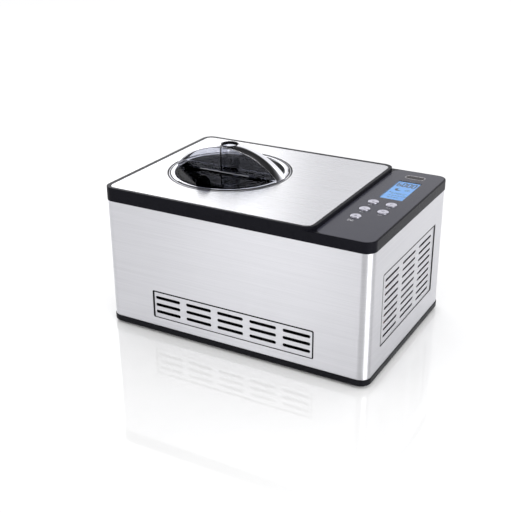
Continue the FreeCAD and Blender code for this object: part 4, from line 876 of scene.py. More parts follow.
@dataclass(frozen=True)
class Case:
    """Steel wrapper, base tray and feet."""

    half_width: float = WRAPPER_BOX.high[0]
    half_depth: float = WRAPPER_BOX.high[1]
    low: float = WRAPPER_BOX.low[2]
    high: float = WRAPPER_BOX.high[2]
    corner: float = 15.0
    gauge: float = 0.8
    rear_opening: float = 190.0
    tray_half_width: float = TRAY_BOX.high[0]
    tray_half_depth: float = TRAY_BOX.high[1]
    tray_low: float = TRAY_BOX.low[2]
    tray_wall: float = 3.0
    tray_floor: float = 2.4
    # How far below the face the near-black strip that paints shade in each vent groove sits.
    shade_strip_sunk: float = 0.15
    slit_count: int = 10
    slit_pitch: float = 12.0
    slit_left: float = 40.0
    vents: tuple[VentField, ...] = (
        VentField(face=Face.FRONT, distance=WRAPPER_BOX.high[1], left=-133.5, right=132.0, low=27.0,
                  high=71.0, slot_left=-128.5, slot_low=34.6, slot_length=42.6, slot_height=4.8, pitch=53.1,
                  rise=11.5, columns=5, rows=3),
        VentField(face=Face.RIGHT, distance=WRAPPER_BOX.high[0], left=-101.0, right=102.0, low=46.0,
                  high=155.0, slot_left=-90.0, slot_low=55.1, slot_length=49.5, slot_height=3.8, pitch=63.7,
                  rise=10.6, columns=3, rows=9),
    )

    def build(self) -> None:
        """Makes the case's pieces."""
        self.wrapper()
        self.tray()
        self.feet()

    def wrapper(self) -> None:
        """Makes the bent sheet with its pressed vent fields, and the near-black strips of painted shade in
        their grooves.
        """
        outer = Solid.block((-self.half_width, -self.half_depth, self.low),
                            (self.half_width, self.half_depth, self.high), self.corner, 12)
        inside = Solid.block((self.gauge - self.half_width, self.gauge - self.half_depth, self.low - 1.0),
                             (self.half_width - self.gauge, self.half_depth - self.gauge, self.high + 1.0),
                             self.corner - self.gauge, 12)
        shell = outer.carve(inside)
        shell.carve(Solid.block((-self.rear_opening, 100.0, self.low - 1.0),
                                (self.rear_opening, self.half_depth + 1.0, self.high + 1.0)))
        for vent in self.vents:
            shell.carve(vent.stiffener(self.gauge), Carve.ADD)
            shell.carve(vent.pressing())
            shell.carve(vent.border(0.0, vent.seam_depth))
            shell.carve(vent.slots())
            # A near-black strip fills each vent groove almost flush: painted shade for the shadowed step
            # round the pressed field.
            shade_strip = vent.border(-self.shade_strip_sunk, vent.seam_depth - 0.1, -0.02)
            shade_strip.publish("vent_shade_strip_" + vent.face.value, SHADE_AND_MARK_BLACK, "case", Slot.RUBBER)
        shell.round_edges(0.28, 2)
        shell.publish("steel_wrapper", BRUSHED_SIDES, "case", Slot.BODY, ("body_wrapper",))

    def tray(self) -> None:
        """Makes the dark tray under the case."""
        outer = Solid.block((-self.tray_half_width, -self.tray_half_depth, self.tray_low),
                            (self.tray_half_width, self.tray_half_depth, self.low), self.corner + 1.0, 12)
        outer.round_edges(1.6, 3, 60.0, lambda e: max(v.co.z for v in e.verts) < self.tray_low + 0.1)
        outer.round_edges(0.5, 2, 60.0, lambda e: min(v.co.z for v in e.verts) > self.low - 0.1)
        wall = self.tray_wall
        outer.carve(Solid.block((wall - self.tray_half_width, wall - self.tray_half_depth,
                                 self.tray_low + self.tray_floor),
                                (self.tray_half_width - wall, self.tray_half_depth - wall, self.low + 1.0),
                                self.corner + 1.0 - wall, 12))
        slits = Solid()
        for place in range(self.slit_count):
            left = self.slit_left + self.slit_pitch * place
            slits.join(Solid.block((left, -50.0, 0.0), (left + 5.0, 50.0, 10.0), 2.4, 4))
        outer.carve(slits)
        outer.publish("tray_moulding", TRAY_BLACK, "case", Slot.TRAY, ("base_tray",))

    def feet(self) -> None:
        """Makes the four rubber feet."""
        for end in ("front", "rear"):
            for side in ("left", "right"):
                self.foot("foot_" + end + "_" + side)

    def foot(self, node: str) -> None:
        """Makes one foot, dished underneath, in the place of its node."""
        box = NodeBox.of(node)
        radius = box.size[0] / 2
        profile = [(0.0, 0.4), (radius - 3.2, 0.4), (radius - 2.6, 0.0), (radius - 1.0, 0.0),
                   (radius, 1.0), (radius, self.tray_low), (0.0, self.tray_low)]
        foot = Solid.turned(profile, box.middle[:2], False, 48)
        foot.publish(node + "_pad", SLOT_FINISH[Slot.RUBBER], "case", Slot.RUBBER, (node,))


@dataclass(frozen=True)
class TopMoulding:
    """Black moulding round the top, the steel sheet on it and the bright ring."""

    half_width: float = HOUSING_BOX.high[0]
    half_depth: float = HOUSING_BOX.high[1]
    low: float = HOUSING_BOX.low[2]
    deck: float = OVERLAY_BOX.high[2]
    platform_top: float = HOUSING_BOX.high[2]
    platform_right: float = 127.0
    corner: float = 16.0
    wall: float = 2.5
    rim: float = 5.0
    far_rim: float = 7.4
    sheet_gauge: float = 1.2
    axis: tuple[float, ...] = DISC_BOX.middle[:2]
    ring_radius: float = RING_BOX.high[0] - DISC_BOX.middle[0]
    ring_bore: float = 82.5
    ring_gap: float = 2.5
    ring_top: float = RING_BOX.high[2]
    ring_seat: float = RING_BOX.low[2]
    lock_span: float = 8.0
    overlay_left: float = OVERLAY_BOX.low[0]
    overlay_inset: float = 2.2
    overlay_gauge: float = 1.0

    def build(self, panel: "ControlPanel") -> None:
        """Makes the moulding, the sheet and the ring, with room for the control panel's parts."""
        self.moulding(panel)
        self.sheet()
        self.ring()
        self.groove_shade_cord()
        self.lock_marks()

    def moulding(self, panel: "ControlPanel") -> None:
        """Makes the band, the platform and the deck in one moulding.

        Args:
            panel: the control panel that sits in the deck.
        """
        band = Solid.block((-self.half_width, -self.half_depth, self.low),
                           (self.half_width, self.half_depth, self.deck), self.corner, 12)
        band.round_edges(1.3, 4, 60.0, lambda e: min(v.co.z for v in e.verts) > self.deck - 0.1)
        platform = Solid.block((-self.half_width, -self.half_depth, self.low + 2.0),
                               (self.platform_right, self.half_depth, self.platform_top), self.corner, 12)
        platform.round_edges(0.6, 4, 60.0, lambda e: min(v.co.z for v in e.verts) > self.platform_top - 0.1)
        band.carve(platform, Carve.ADD)
        wall = self.wall
        band.carve(Solid.block((wall - self.half_width, wall - self.half_depth, self.low - 1.0),
                               (self.half_width - wall, self.half_depth - wall, self.deck - wall),
                               self.corner - wall, 8))
        seat = self.platform_top - self.sheet_gauge
        lap = 0.35
        band.carve(self.sheet_block(seat, seat + 9.0, lap))
        band.carve(Solid.drum(self.ring_radius - 4.5, self.low - 1.0, seat + 1.0, self.axis))
        band.carve(self.overlay_block(self.deck - self.overlay_gauge, self.deck + 1.0, 0.25))
        band.carve(panel.window_block(self.deck - 4.0, self.deck, 0.2))
        band.carve(panel.button_holes(self.deck - 6.0, self.deck + 1.0))
        band.publish("band_moulding", BAND_BLACK, "case", Slot.BAND, ("top_housing",))

    def sheet_block(self, low: float, high: float, lap: float = 0.0) -> Solid:
        """Gives the block that has the brushed sheet's outline."""
        return Solid.block((self.far_rim - self.half_width - lap, self.rim - self.half_depth - lap, low),
                           (self.platform_right - self.rim + lap, self.half_depth - self.far_rim + lap, high),
                           self.corner - self.rim + lap, 12)

    def overlay_block(self, low: float, high: float, lap: float = 0.0) -> Solid:
        """Gives the block that has the control overlay's outline."""
        inset = self.overlay_inset
        return Solid.block((self.overlay_left - lap, inset - self.half_depth - lap, low),
                           (self.half_width - inset + lap, self.half_depth - inset + lap, high),
                           self.corner - inset + lap, 12)

    def sheet(self) -> None:
        """Makes the brushed sheet on the platform."""
        seat = self.platform_top - self.sheet_gauge
        plate = self.sheet_block(seat, self.platform_top)
        opening = self.ring_radius + self.ring_gap
        plate.carve(Solid.drum(opening, seat - 1.0, self.platform_top + 1.0, self.axis, steps=128))
        plate.round_edges(0.3, 2, 60.0, lambda e: min(v.co.z for v in e.verts) > self.platform_top - 0.1)
        plate.publish("brushed_sheet", BRUSHED_TOP, "case", Slot.TOP, ("top_plate",))

    def ring(self) -> None:
        """Makes the bright ring round the opening, with the groove near its outer edge."""
        seat = self.platform_top - self.sheet_gauge
        top = self.ring_top
        outer = self.ring_radius
        bore = self.ring_bore
        profile = [(bore, self.ring_seat), (outer - 5.0, self.ring_seat), (outer - 5.0, seat), (outer, seat),
                   (outer, top - 1.3), (outer - 0.3, top - 1.0), (outer - 0.9, top - 0.95),
                   (outer - 1.0, top - 2.0),
                   (outer - 3.2, top - 2.0), (outer - 3.3, top - 0.7), (outer - 5.0, top - 0.1),
                   (outer - 5.6, top), (bore + 2.6, top), (bore + 1.2, top - 0.4), (bore + 0.3, top - 1.2),
                   (bore, top - 2.2)]
        Solid.turned(profile, self.axis, steps=160).publish("bright_ring", RING_CHROME, "case", Slot.RING,
                                                            ("well_ring",))

    def groove_shade_cord(self) -> None:
        """Makes the dark cord that lies in the ring's groove: painted shade for the shadowed line round the
        ring's outer edge.
        """
        top = self.ring_top
        outer = self.ring_radius
        profile = [(outer - 3.15, top - 1.95), (outer - 1.05, top - 1.95), (outer - 0.97, top - 1.05),
                   (outer - 2.1, top - 0.8), (outer - 3.24, top - 0.9)]
        shade_cord = Solid.turned(profile, self.axis, steps=160)
        shade_cord.publish("ring_groove_painted_shade", SHADE_AND_MARK_BLACK, "case", Slot.RUBBER)

    def lock_marks(self) -> None:
        """Makes the two dark inlays that mark how the lid locks, in the ring's groove."""
        top = self.ring_top
        outer = self.ring_radius
        for name, middle in (("lock_mark_front", -115.0), ("lock_mark_rear", 28.0)):
            profile = [(outer - 4.4, top - 1.2), (outer - 1.3, top - 1.2), (outer - 1.3, top - 0.85),
                       (outer - 2.6, top - 0.72), (outer - 4.4, top - 0.10)]
            inlay = Solid.turned(profile, self.axis, True, 10, math.radians(self.lock_span),
                                 math.radians(middle - self.lock_span / 2))
            inlay.publish(name, SHADE_AND_MARK_BLACK, "case", Slot.BAND)


# ---------------------------------------------------------------- the control panel


class Mark(Enum):
    """Plain signs on the buttons."""

    MENU = "menu"
    MINUS = "minus"
    PLUS = "plus"
    POWER = "power"
    START = "start"


@dataclass(frozen=True)
class Button:
    """One round button with its sign."""

    mark: Mark
    radius: float = 7.75
    flange_width: float = 1.2
    flange_top: float = 212.8
    flange_gauge: float = 0.9
    stem_radius: float = 3.0

    @property
    def node(self) -> str:
        """Gives the name of the button's node, which is its body's name too."""
        return "button_" + self.mark.value

    @property
    def box(self) -> NodeBox:
        """Gives the box of the button's node."""
        return NodeBox.of(self.node)

    @property
    def x(self) -> float:
        """Gives X of the button's axis."""
        return self.box.middle[0]

    @property
    def y(self) -> float:
        """Gives Y of the button's axis."""
        return self.box.middle[1]

    @property
    def top(self) -> float:
        """Gives the level of the cap's top."""
        return self.box.high[2]

    def build(self) -> None:
        """Makes the cap and its sign."""
        radius, top = self.radius, self.top
        flange, flange_low = radius + self.flange_width, self.flange_top - self.flange_gauge
        stem_low = self.box.low[2]
        profile = [(0.0, top - 0.25), (3.0, top - 0.22), (5.4, top - 0.08), (6.3, top), (6.9, top - 0.05),
                   (7.4, top - 0.35), (radius, top - 0.8), (radius, self.flange_top),
                   (flange, self.flange_top), (flange, flange_low), (self.stem_radius, flange_low),
                   (self.stem_radius, stem_low), (0.0, stem_low)]
        cap = Solid.turned(profile, (self.x, self.y), False, 64)
        cap.publish(self.node + "_cap", BUTTON_SILVER, self.node, Slot.BUTTON, (self.node,), 50.0)
        self.sign().publish(self.node + "_sign", SIGN_GREY, self.node, Slot.SWITCH)

    def sign(self) -> Solid:
        """Makes the button's sign as thin raised print."""
        low, high = self.top - 0.35, self.top - 0.1
        here = (self.x, self.y)
        if self.mark is Mark.MINUS:
            return bar(here, 4.0, 0.7, low, high)
        if self.mark is Mark.PLUS:
            return bar(here, 4.0, 0.7, low, high).carve(bar(here, 4.0, 0.7, low, high, 90.0), Carve.ADD)
        if self.mark is Mark.POWER:
            ring = Solid.turned([(1.5, low), (2.1, low), (2.1, high), (1.5, high)], here, True, 20,
                                math.radians(290.0), math.radians(125.0))
            return ring.join(bar((self.x, self.y + 1.8), 2.0, 0.6, low, high, 90.0))
        if self.mark is Mark.START:
            middle = Vector((self.x - 0.6, self.y, 0.0))
            wedge = Solid.drum(1.7, low, high, middle[:2], steps=3)
            wedge.move(Matrix.Translation(middle) @ Matrix.Rotation(-math.pi / 2, 4, "Z")
                       @ Matrix.Translation(-middle))
            return wedge.join(bar((self.x + 2.2, self.y), 2.8, 0.6, low, high, 90.0))
        lines = bar(here, 4.0, 0.55, low, high)
        return lines.join(bar((self.x, self.y + 1.4), 4.0, 0.55, low, high),
                          bar((self.x, self.y - 1.4), 4.0, 0.55, low, high))

    def hole(self, low: float, high: float, gap: float = 0.2) -> Solid:
        """Gives the hole that the button works in."""
        return Solid.drum(self.radius + gap, low, high, (self.x, self.y), steps=64)


@dataclass(frozen=True)
class ControlPanel:
    """Overlay, screen, badge and buttons of the deck."""

    top: float = OVERLAY_BOX.high[2]
    screen_x: float = WINDOW_BOX.middle[0]
    screen_y: float = WINDOW_BOX.middle[1]
    screen_width: float = WINDOW_BOX.size[0]
    screen_length: float = WINDOW_BOX.size[1]
    screen_low: float = SCREEN_BOX.low[2]
    screen_top: float = SCREEN_BOX.high[2]
    badge_corner: float = 6.4
    badge_rim_width: float = 1.7
    digit_rise: float = 27.0
    buttons: tuple[Button, ...] = tuple(Button(mark) for mark in Mark)

    def build(self, moulding: TopMoulding) -> None:
        """Makes the panel's pieces.

        Args:
            moulding: the moulding that the overlay lies in.
        """
        self.overlay(moulding)
        self.screen()
        self.badge()
        self.print_marks()
        for button in self.buttons:
            button.build()

    def window_block(self, low: float, high: float, lap: float = 0.0) -> Solid:
        """Gives a block with the screen's outline."""
        half_x, half_y = self.screen_width / 2 + lap, self.screen_length / 2 + lap
        return Solid.block((self.screen_x - half_x, self.screen_y - half_y, low),
                           (self.screen_x + half_x, self.screen_y + half_y, high), 0.6, 3)

    def button_holes(self, low: float, high: float) -> Solid:
        """Gives all the button holes as one cutter."""
        holes = Solid()
        for button in self.buttons:
            holes.join(button.hole(low, high))
        return holes

    def badge_block(self, low: float, high: float, inset: float = 0.0) -> Solid:
        """Gives a block with the badge's outline."""
        (x, y, _), (width, length, _) = BADGE_BOX.middle, BADGE_BOX.size
        half_x, half_y = width / 2 - inset, length / 2 - inset
        return Solid.block((x - half_x, y - half_y, low), (x + half_x, y + half_y, high),
                           self.badge_corner - inset, 8)

    def overlay(self, moulding: TopMoulding) -> None:
        """Makes the dark sheet over the deck."""
        low = self.top - moulding.overlay_gauge
        sheet = moulding.overlay_block(low, self.top)
        sheet.round_edges(0.25, 2, 60.0, lambda e: min(v.co.z for v in e.verts) > self.top - 0.1)
        sheet.carve(self.window_block(low - 1.0, self.top + 1.0, 0.1))
        sheet.carve(self.button_holes(low - 1.0, self.top + 1.0))
        sheet.carve(self.badge_block(self.top - 0.5, self.top + 1.0))
        sheet.publish("panel_sheet", PANEL_GREY, "case", Slot.PANEL, ("control_overlay",))

    def screen(self) -> None:
        """Makes the lit screen, its figures and the cover over them."""
        glass = self.window_block(self.screen_top + 0.45, self.top - 0.05)
        glass.round_edges(0.2, 2, 60.0)
        glass.publish("screen_window", SCREEN_GLASS, "case", Slot.SCREEN_CLEAR, ("display_window",))
        lit = self.window_block(self.screen_low, self.screen_top)
        lit.round_edges(0.3, 2, 60.0)
        lit.publish("screen_module", SCREEN_LIT, "case", Slot.SCREEN_BLUE, ("display_module",))
        figures = self.digits("6000")
        figures.join(self.signs())
        figures.publish("screen_figures", PRINT_DARK, "case", Slot.SWITCH)

    def digits(self, text: str) -> Solid:
        """Makes a row of seven-bar digits near the rear end of the screen.

        Args:
            text: the digits to show.

        Returns:
            The bars of all the digits.
        """
        lit_bars = {"0": "abcdef", "1": "bc", "2": "abdeg", "3": "abcdg", "4": "bcfg", "5": "acdfg",
                    "6": "acdefg", "7": "abc", "8": "abcdefg", "9": "abcdfg"}
        width, height, pitch, thick = 4.7, 14.8, 7.5, 2.1
        half, quarter = height / 2, height / 4
        places = {"a": (0.0, half, 0.0), "b": (width / 2, quarter, 90.0), "c": (width / 2, -quarter, 90.0),
                  "d": (0.0, -half, 0.0), "e": (-width / 2, -quarter, 90.0), "f": (-width / 2, quarter, 90.0),
                  "g": (0.0, 0.0, 0.0)}
        row = Solid()
        low, high = self.screen_top - 0.05, self.screen_top + 0.15
        for place, digit in enumerate(text):
            middle = self.screen_x + (place - (len(text) - 1) / 2) * pitch - 0.6
            for letter in lit_bars[digit]:
                across, along, angle = places[letter]
                length = (width if angle == 0.0 else half) - thick * 0.3
                here = (middle + across, self.screen_y + self.digit_rise + along)
                row.join(bar(here, length, thick, low, high, angle))
        return row

    def signs(self) -> Solid:
        """Makes the plain signs under the digits: a crescent, a snow star, a pointer and three rules."""
        low, high = self.screen_top - 0.05, self.screen_top + 0.15
        x, y = self.screen_x, self.screen_y
        crescent = Solid.drum(4.8, low, high, (x - 6.0, y + 5.0), steps=40)
        crescent.carve(Solid.drum(3.6, low - 1.0, high + 1.0, (x - 3.8, y + 6.8), steps=40))
        star = Solid.drum(0.8, low, high, (x + 7.5, y + 6.0), steps=12)
        for angle in (0.0, 60.0, 120.0, 180.0, 240.0, 300.0):
            away = Vector((math.cos(math.radians(angle)), math.sin(math.radians(angle)))) * 2.9
            star.join(bar((x + 7.5 + away.x, y + 6.0 + away.y), 2.6, 0.7, low, high, angle))
        pointer = Solid.drum(1.5, low, high, (x - 13.0, y - 8.0), steps=3)
        every = crescent.join(star, pointer)
        for row, length in enumerate((20.0, 24.0, 16.0)):
            left = x - 10.0
            at = 0.0
            step = 0
            while at < length:
                dash = (3.4, 2.2, 4.2, 2.8)[(step + row) % 4]
                every.join(bar((left + at + dash / 2, y - 13.0 - 7.6 * row), dash, 1.5, low, high))
                at += dash + 1.2
                step += 1
        rule = bar((x, y - 20.6 + 11.4), 26.0, 0.35, low, high)
        return every.join(rule)

    def badge(self) -> None:
        """Makes the blank badge: a dark rim round a sunk face."""
        rim = self.badge_block(self.top - 0.5, self.top + 0.2)
        rim.carve(self.badge_block(self.top - 0.2, self.top + 1.0, self.badge_rim_width))
        rim.round_edges(0.22, 2, 50.0)
        rim.publish("badge_rim", BADGE_RIM, "case", Slot.BADGE, ("badge",))
        face = self.badge_block(self.top - 0.2, self.top, self.badge_rim_width + 0.2)
        face.round_edges(0.08, 2, 50.0)
        face.publish("badge_face", BADGE_FACE, "case", Slot.BAND)

    def print_marks(self) -> None:
        """Makes the light printed rules in front of the buttons."""
        low, high = self.top - 0.02, self.top + 0.03
        every = Solid()
        for button in self.buttons:
            front = button.y - 11.4
            if button.mark is Mark.MENU:
                for row, lengths in enumerate(((4.2, 3.0), (2.6, 4.4))):
                    left = button.x - 5.2
                    for length in lengths:
                        every.join(bar((left + length / 2, front - 2.4 - row * 3.4), length, 1.3, low, high))
                        left += length + 1.3
            else:
                every.join(bar((button.x - 1.6, front), 3.0, 0.9, low, high),
                           bar((button.x + 1.9, front), 2.0, 0.9, low, high))
        every.publish("printed_marks", PRINT_LIGHT, "case", Slot.BUTTON)


# ---------------------------------------------------------------- the lid


@dataclass(frozen=True)
class Lid:
    """Clear lid with its filling flap, the arch with its centre tube and the bright strap."""

    axis_x: float = DISC_BOX.middle[0]
    axis_y: float = DISC_BOX.middle[1]
    radius: float = 81.9
    under: float = DISC_BOX.low[2] + 0.04
    top: float = 221.0
    web: float = 3.0
    tube_radius: float = 14.85
    tube_bore: float = 12.85
    tube_low: float = ARCH_BOX.low[2]
    arch_radius: float = 122.5
    arch_apex: float = STRAP_BOX.high[2]
    arch_foot: float = STRAP_BOX.low[2]
    strap_half: float = STRAP_BOX.size[1] / 2
    strap_gauge: float = 1.3
    strap_drop: float = 2.8
    strap_crown: float = 1.5
    web_half: float = 12.7
    web_wall: float = 2.4
    hinge_y: float = PIN_BOX.middle[1] - DISC_BOX.middle[1]
    hinge_rise: float = 1.6
    lug_radius: float = 1.8
    lug_length: float = 10.0
    pin_radius: float = 0.95
    flap_radius: float = 78.5
    flap_gauge: float = 1.6
    tab_half: float = 11.5
    tab_thick: float = 3.0
    tab_stem: float = 4.0
    lid_lugs: tuple[float, ...] = (-64.0, 54.0)
    flap_lugs: tuple[float, ...] = (-53.0, 43.0)

    @property
    def axis(self) -> tuple[float, float]:
        """Gives X and Y of the lid's middle."""
        return (self.axis_x, self.axis_y)

    @property
    def arch_centre(self) -> float:
        """Gives the level of the arch's centre."""
        return self.arch_apex - self.arch_radius

    def build(self) -> None:
        """Makes the lid's pieces."""
        self.disc()
        self.pin()
        self.painted_mouth_shade()
        self.flap()
        self.strap()
        self.arch()

    def local_block(self, low: Point, high: Point, corner: float = 0.0, axis: Axis = Axis.Z) -> Solid:
        """Gives a block whose X and Y are from the lid's middle."""
        shift = (self.axis_x, self.axis_y, 0.0)
        corners = [[a + b for a, b in zip(end, shift)] for end in (low, high)]
        return Solid.block(*corners, corner, 4, axis)

    def front_of_hinge(self, past: float) -> Solid:
        """Gives all that lies in front of the hinge's axis, or up to a distance past it."""
        return self.local_block((-100.0, -100.0, 200.0), (100.0, self.hinge_y + past, 240.0))

    def hinge_bar(self, radius: float, left: float, length: float) -> Solid:
        """Gives a round bar on the hinge's axis."""
        return Solid.drum(radius, self.axis_x + left, self.axis_x + left + length,
                          (self.axis_y + self.hinge_y, self.top + self.hinge_rise), Axis.X, 32)

    def arch_drum(self, radius: float, front: float, rear: float) -> Solid:
        """Gives a round bar from front to rear about the arch's centre."""
        return Solid.drum(radius, self.axis_y + front, self.axis_y + rear, (self.axis_x, self.arch_centre),
                          Axis.Y, 192)

    def disc(self) -> None:
        """Makes the lid's disc with its filling opening, plinth and hinge lugs."""
        under_web = self.top - self.web
        disc = Solid.turned([(self.tube_radius, under_web), (self.radius - 5.0, under_web),
                             (self.radius - 5.0, self.under), (self.radius, self.under),
                             (self.radius, self.top - 0.9), (self.radius - 0.3, self.top - 0.3),
                             (self.radius - 0.9, self.top), (self.tube_radius, self.top)],
                            self.axis, steps=128)
        opening = Solid.drum(self.flap_radius - 3.0, 205.0, 235.0, self.axis)
        opening.carve(self.front_of_hinge(-5.0), Carve.SHARE)
        seat = Solid.drum(self.flap_radius + 0.3, self.top - self.flap_gauge, 235.0, self.axis)
        seat.carve(self.front_of_hinge(2.0), Carve.SHARE)
        disc.carve(seat).carve(opening)
        half = self.web_half
        plinth = self.local_block((-79.0, -half, self.top - 0.5), (79.0, half, self.arch_foot), 3.0)
        plinth.round_edges(0.35, 2, 60.0, lambda e: min(v.co.z for v in e.verts) > self.arch_foot - 0.1)
        plinth.carve(Solid.drum(self.tube_radius, 205.0, 230.0, self.axis))
        disc.carve(plinth, Carve.ADD)
        for left in self.lid_lugs:
            disc.carve(self.hinge_bar(self.lug_radius, left, self.lug_length), Carve.ADD)
            web = self.local_block((left, self.hinge_y - 1.4, self.top - self.flap_gauge - 0.5),
                                   (left + self.lug_length, self.hinge_y + 1.4, self.top + self.hinge_rise))
            disc.carve(web, Carve.ADD)
        disc.carve(self.hinge_bar(self.pin_radius, -70.0, 140.0))
        disc.publish("lid_cover", LID_SMOKE, "lid", Slot.LID, ("lid_disc",))

    def pin(self) -> None:
        """Makes the blackened pin of the flap's hinge."""
        pin = self.hinge_bar(self.pin_radius - 0.05, -64.0, 128.0)
        pin.round_edges(0.3, 2, 50.0)
        pin.publish("hinge_pin", PIN_DARK, "lid", Slot.SHAFT, ("flap_pin",))

    def painted_mouth_shade(self) -> None:
        """Makes the dark ring in the mouth of the centre tube: painted shade for the dark rim and the dark
        reflection at the clear tube's mouth.
        """
        bore = self.tube_bore
        top = self.arch_apex - 0.1
        profile = [(bore - 0.9, top - 4.6), (bore - 0.02, top - 4.6), (bore - 0.02, top - 0.9),
                   (bore + 0.3, top - 0.8),
                   (bore + 0.35, top), (bore - 0.5, top), (bore - 0.9, top - 0.4)]
        shade_ring = Solid.turned(profile, self.axis, steps=96)
        shade_ring.publish("tube_mouth_painted_shade", SHADE_AND_MARK_BLACK, "lid", Slot.RUBBER)

    def flap(self) -> None:
        """Makes the half-moon flap with its finger tab and hinge lugs."""
        under = self.top - self.flap_gauge
        plate = Solid.drum(self.flap_radius, under, self.top, self.axis, steps=128)
        plate.carve(self.front_of_hinge(-2.4), Carve.SHARE)
        plate.round_edges(0.3, 2, 50.0)
        front = -self.flap_radius
        stem_top = self.top + self.tab_stem
        half = self.tab_half
        tab = Solid.drum(half, self.axis_y + front + 0.8, self.axis_y + front + 0.8 + self.tab_thick,
                         (self.axis_x, stem_top), Axis.Y, 64)
        tab.trim((0.0, 0.0, stem_top), (0.0, 0.0, -1.0))
        stem = self.local_block((-half, front + 0.8, under), (half, front + 0.8 + self.tab_thick, stem_top))
        tab.carve(stem, Carve.ADD)
        tab.round_edges(0.6, 3, 50.0, lambda e: min(v.co.z for v in e.verts) > self.top + 0.5)
        plate.carve(tab, Carve.ADD)
        for left in self.flap_lugs:
            plate.carve(self.hinge_bar(self.lug_radius, left, self.lug_length), Carve.ADD)
            plate.carve(self.local_block((left, self.hinge_y - 3.0, under),
                                         (left + self.lug_length, self.hinge_y, self.top + self.hinge_rise)),
                        Carve.ADD)
        plate.carve(self.hinge_bar(self.pin_radius, -70.0, 140.0))
        plate.publish("filling_flap", FLAP_SMOKE, "flap", Slot.FLAP, ("fill_flap",))

    def strap(self) -> None:
        """Makes the crowned bright strap over the arch, with the tube's opening in it."""
        solid = Solid()
        middle = Vector((self.axis_x, self.axis_y, self.arch_centre))
        reach = math.radians(51.0)
        count = 16
        rows = [self.strap_half * (2.0 * step / count - 1.0) for step in range(count + 1)]
        drops = [self.strap_drop * abs(across / self.strap_half) ** self.strap_crown for across in rows]
        crown = [(across, self.arch_radius - drop) for across, drop in zip(rows, drops)]
        under = [(across * 0.985, radius - self.strap_gauge) for across, radius in reversed(crown)]
        way = Vector((-math.sin(reach), 0.0, math.cos(reach)))
        rim = [solid.bm.verts.new(middle + Vector((0.0, across, 0.0)) + way * radius)
               for across, radius in crown + under]
        edges = [solid.bm.edges.new(pair) for pair in zip(rim, rim[1:] + rim[:1])]
        bmesh.ops.spin(solid.bm, geom=rim + edges, cent=middle, axis=(0.0, 1.0, 0.0), dvec=(0.0, 0.0, 0.0),
                       angle=reach * 2, steps=72, use_merge=False, use_normal_flip=False, use_duplicate=False)
        solid.close().clean()
        solid.trim((0.0, 0.0, self.arch_foot), (0.0, 0.0, -1.0))
        solid.round_edges(0.35, 3, 40.0)
        solid.carve(Solid.drum(self.tube_bore, 240.0, 270.0, self.axis))
        solid.publish("bright_strap", CHROME, "lid", Slot.STRAP, ("handle_strap",))

    def arch(self) -> None:
        """Makes the clear moulding under the strap: two webs and the centre tube."""
        inner = self.arch_radius - self.strap_drop - self.strap_gauge
        clear = Solid()
        for front, rear in ((-self.web_half, self.web_wall - self.web_half),
                            (self.web_half - self.web_wall, self.web_half)):
            wall = self.arch_drum(inner + 0.6, front, rear)
            wall.trim((0.0, 0.0, self.arch_foot - 0.3), (0.0, 0.0, -1.0))
            clear.join(wall)
        tube = Solid.drum(self.tube_radius, self.tube_low, 266.0, self.axis)
        tube.carve(self.arch_drum(self.arch_radius - self.strap_gauge + 0.1, -20.0, 20.0), Carve.SHARE)
        clear.carve(tube, Carve.ADD)
        clear.carve(Solid.drum(self.tube_bore, 195.0, 270.0, self.axis))
        clear.publish("clear_arch", ARCH_CLEAR, "lid", Slot.LID, ("lid_arch",))


# ---------------------------------------------------------------- what is carried over


def dress_carried_nodes(nodes: dict[str, bpy.types.Object]) -> None:
    """Gives each node of the frame that stays its finish.

    Args:
        nodes: the frame's nodes by name.
    """
    for slot, names in CARRIED_NODES.items():
        material = SLOT_FINISH[slot].material()
        for name in names:
            held = nodes[name].data.materials
            held.clear()
            held.append(material)
            log.info("%s: dressed as %s", name, slot.value)


# ---------------------------------------------------------------- studio


@dataclass(frozen=True)
class SoftBox:
    """One soft studio light."""

    name: str
    place: Point
    aim: Point
    width: float
    height: float
    power: float

    def build(self) -> None:
        """Sets up the light."""
        lamp = bpy.data.lights.new(self.name, "AREA")
        lamp.shape = "RECTANGLE"
        lamp.size, lamp.size_y, lamp.energy = self.width, self.height, self.power
        held = bpy.data.objects.new(self.name, lamp)
        held.location = Vector(self.place)
        held.rotation_euler = (Vector(self.aim) - Vector(self.place)).to_track_quat("-Z", "Y").to_euler()
        bpy.context.scene.collection.objects.link(held)


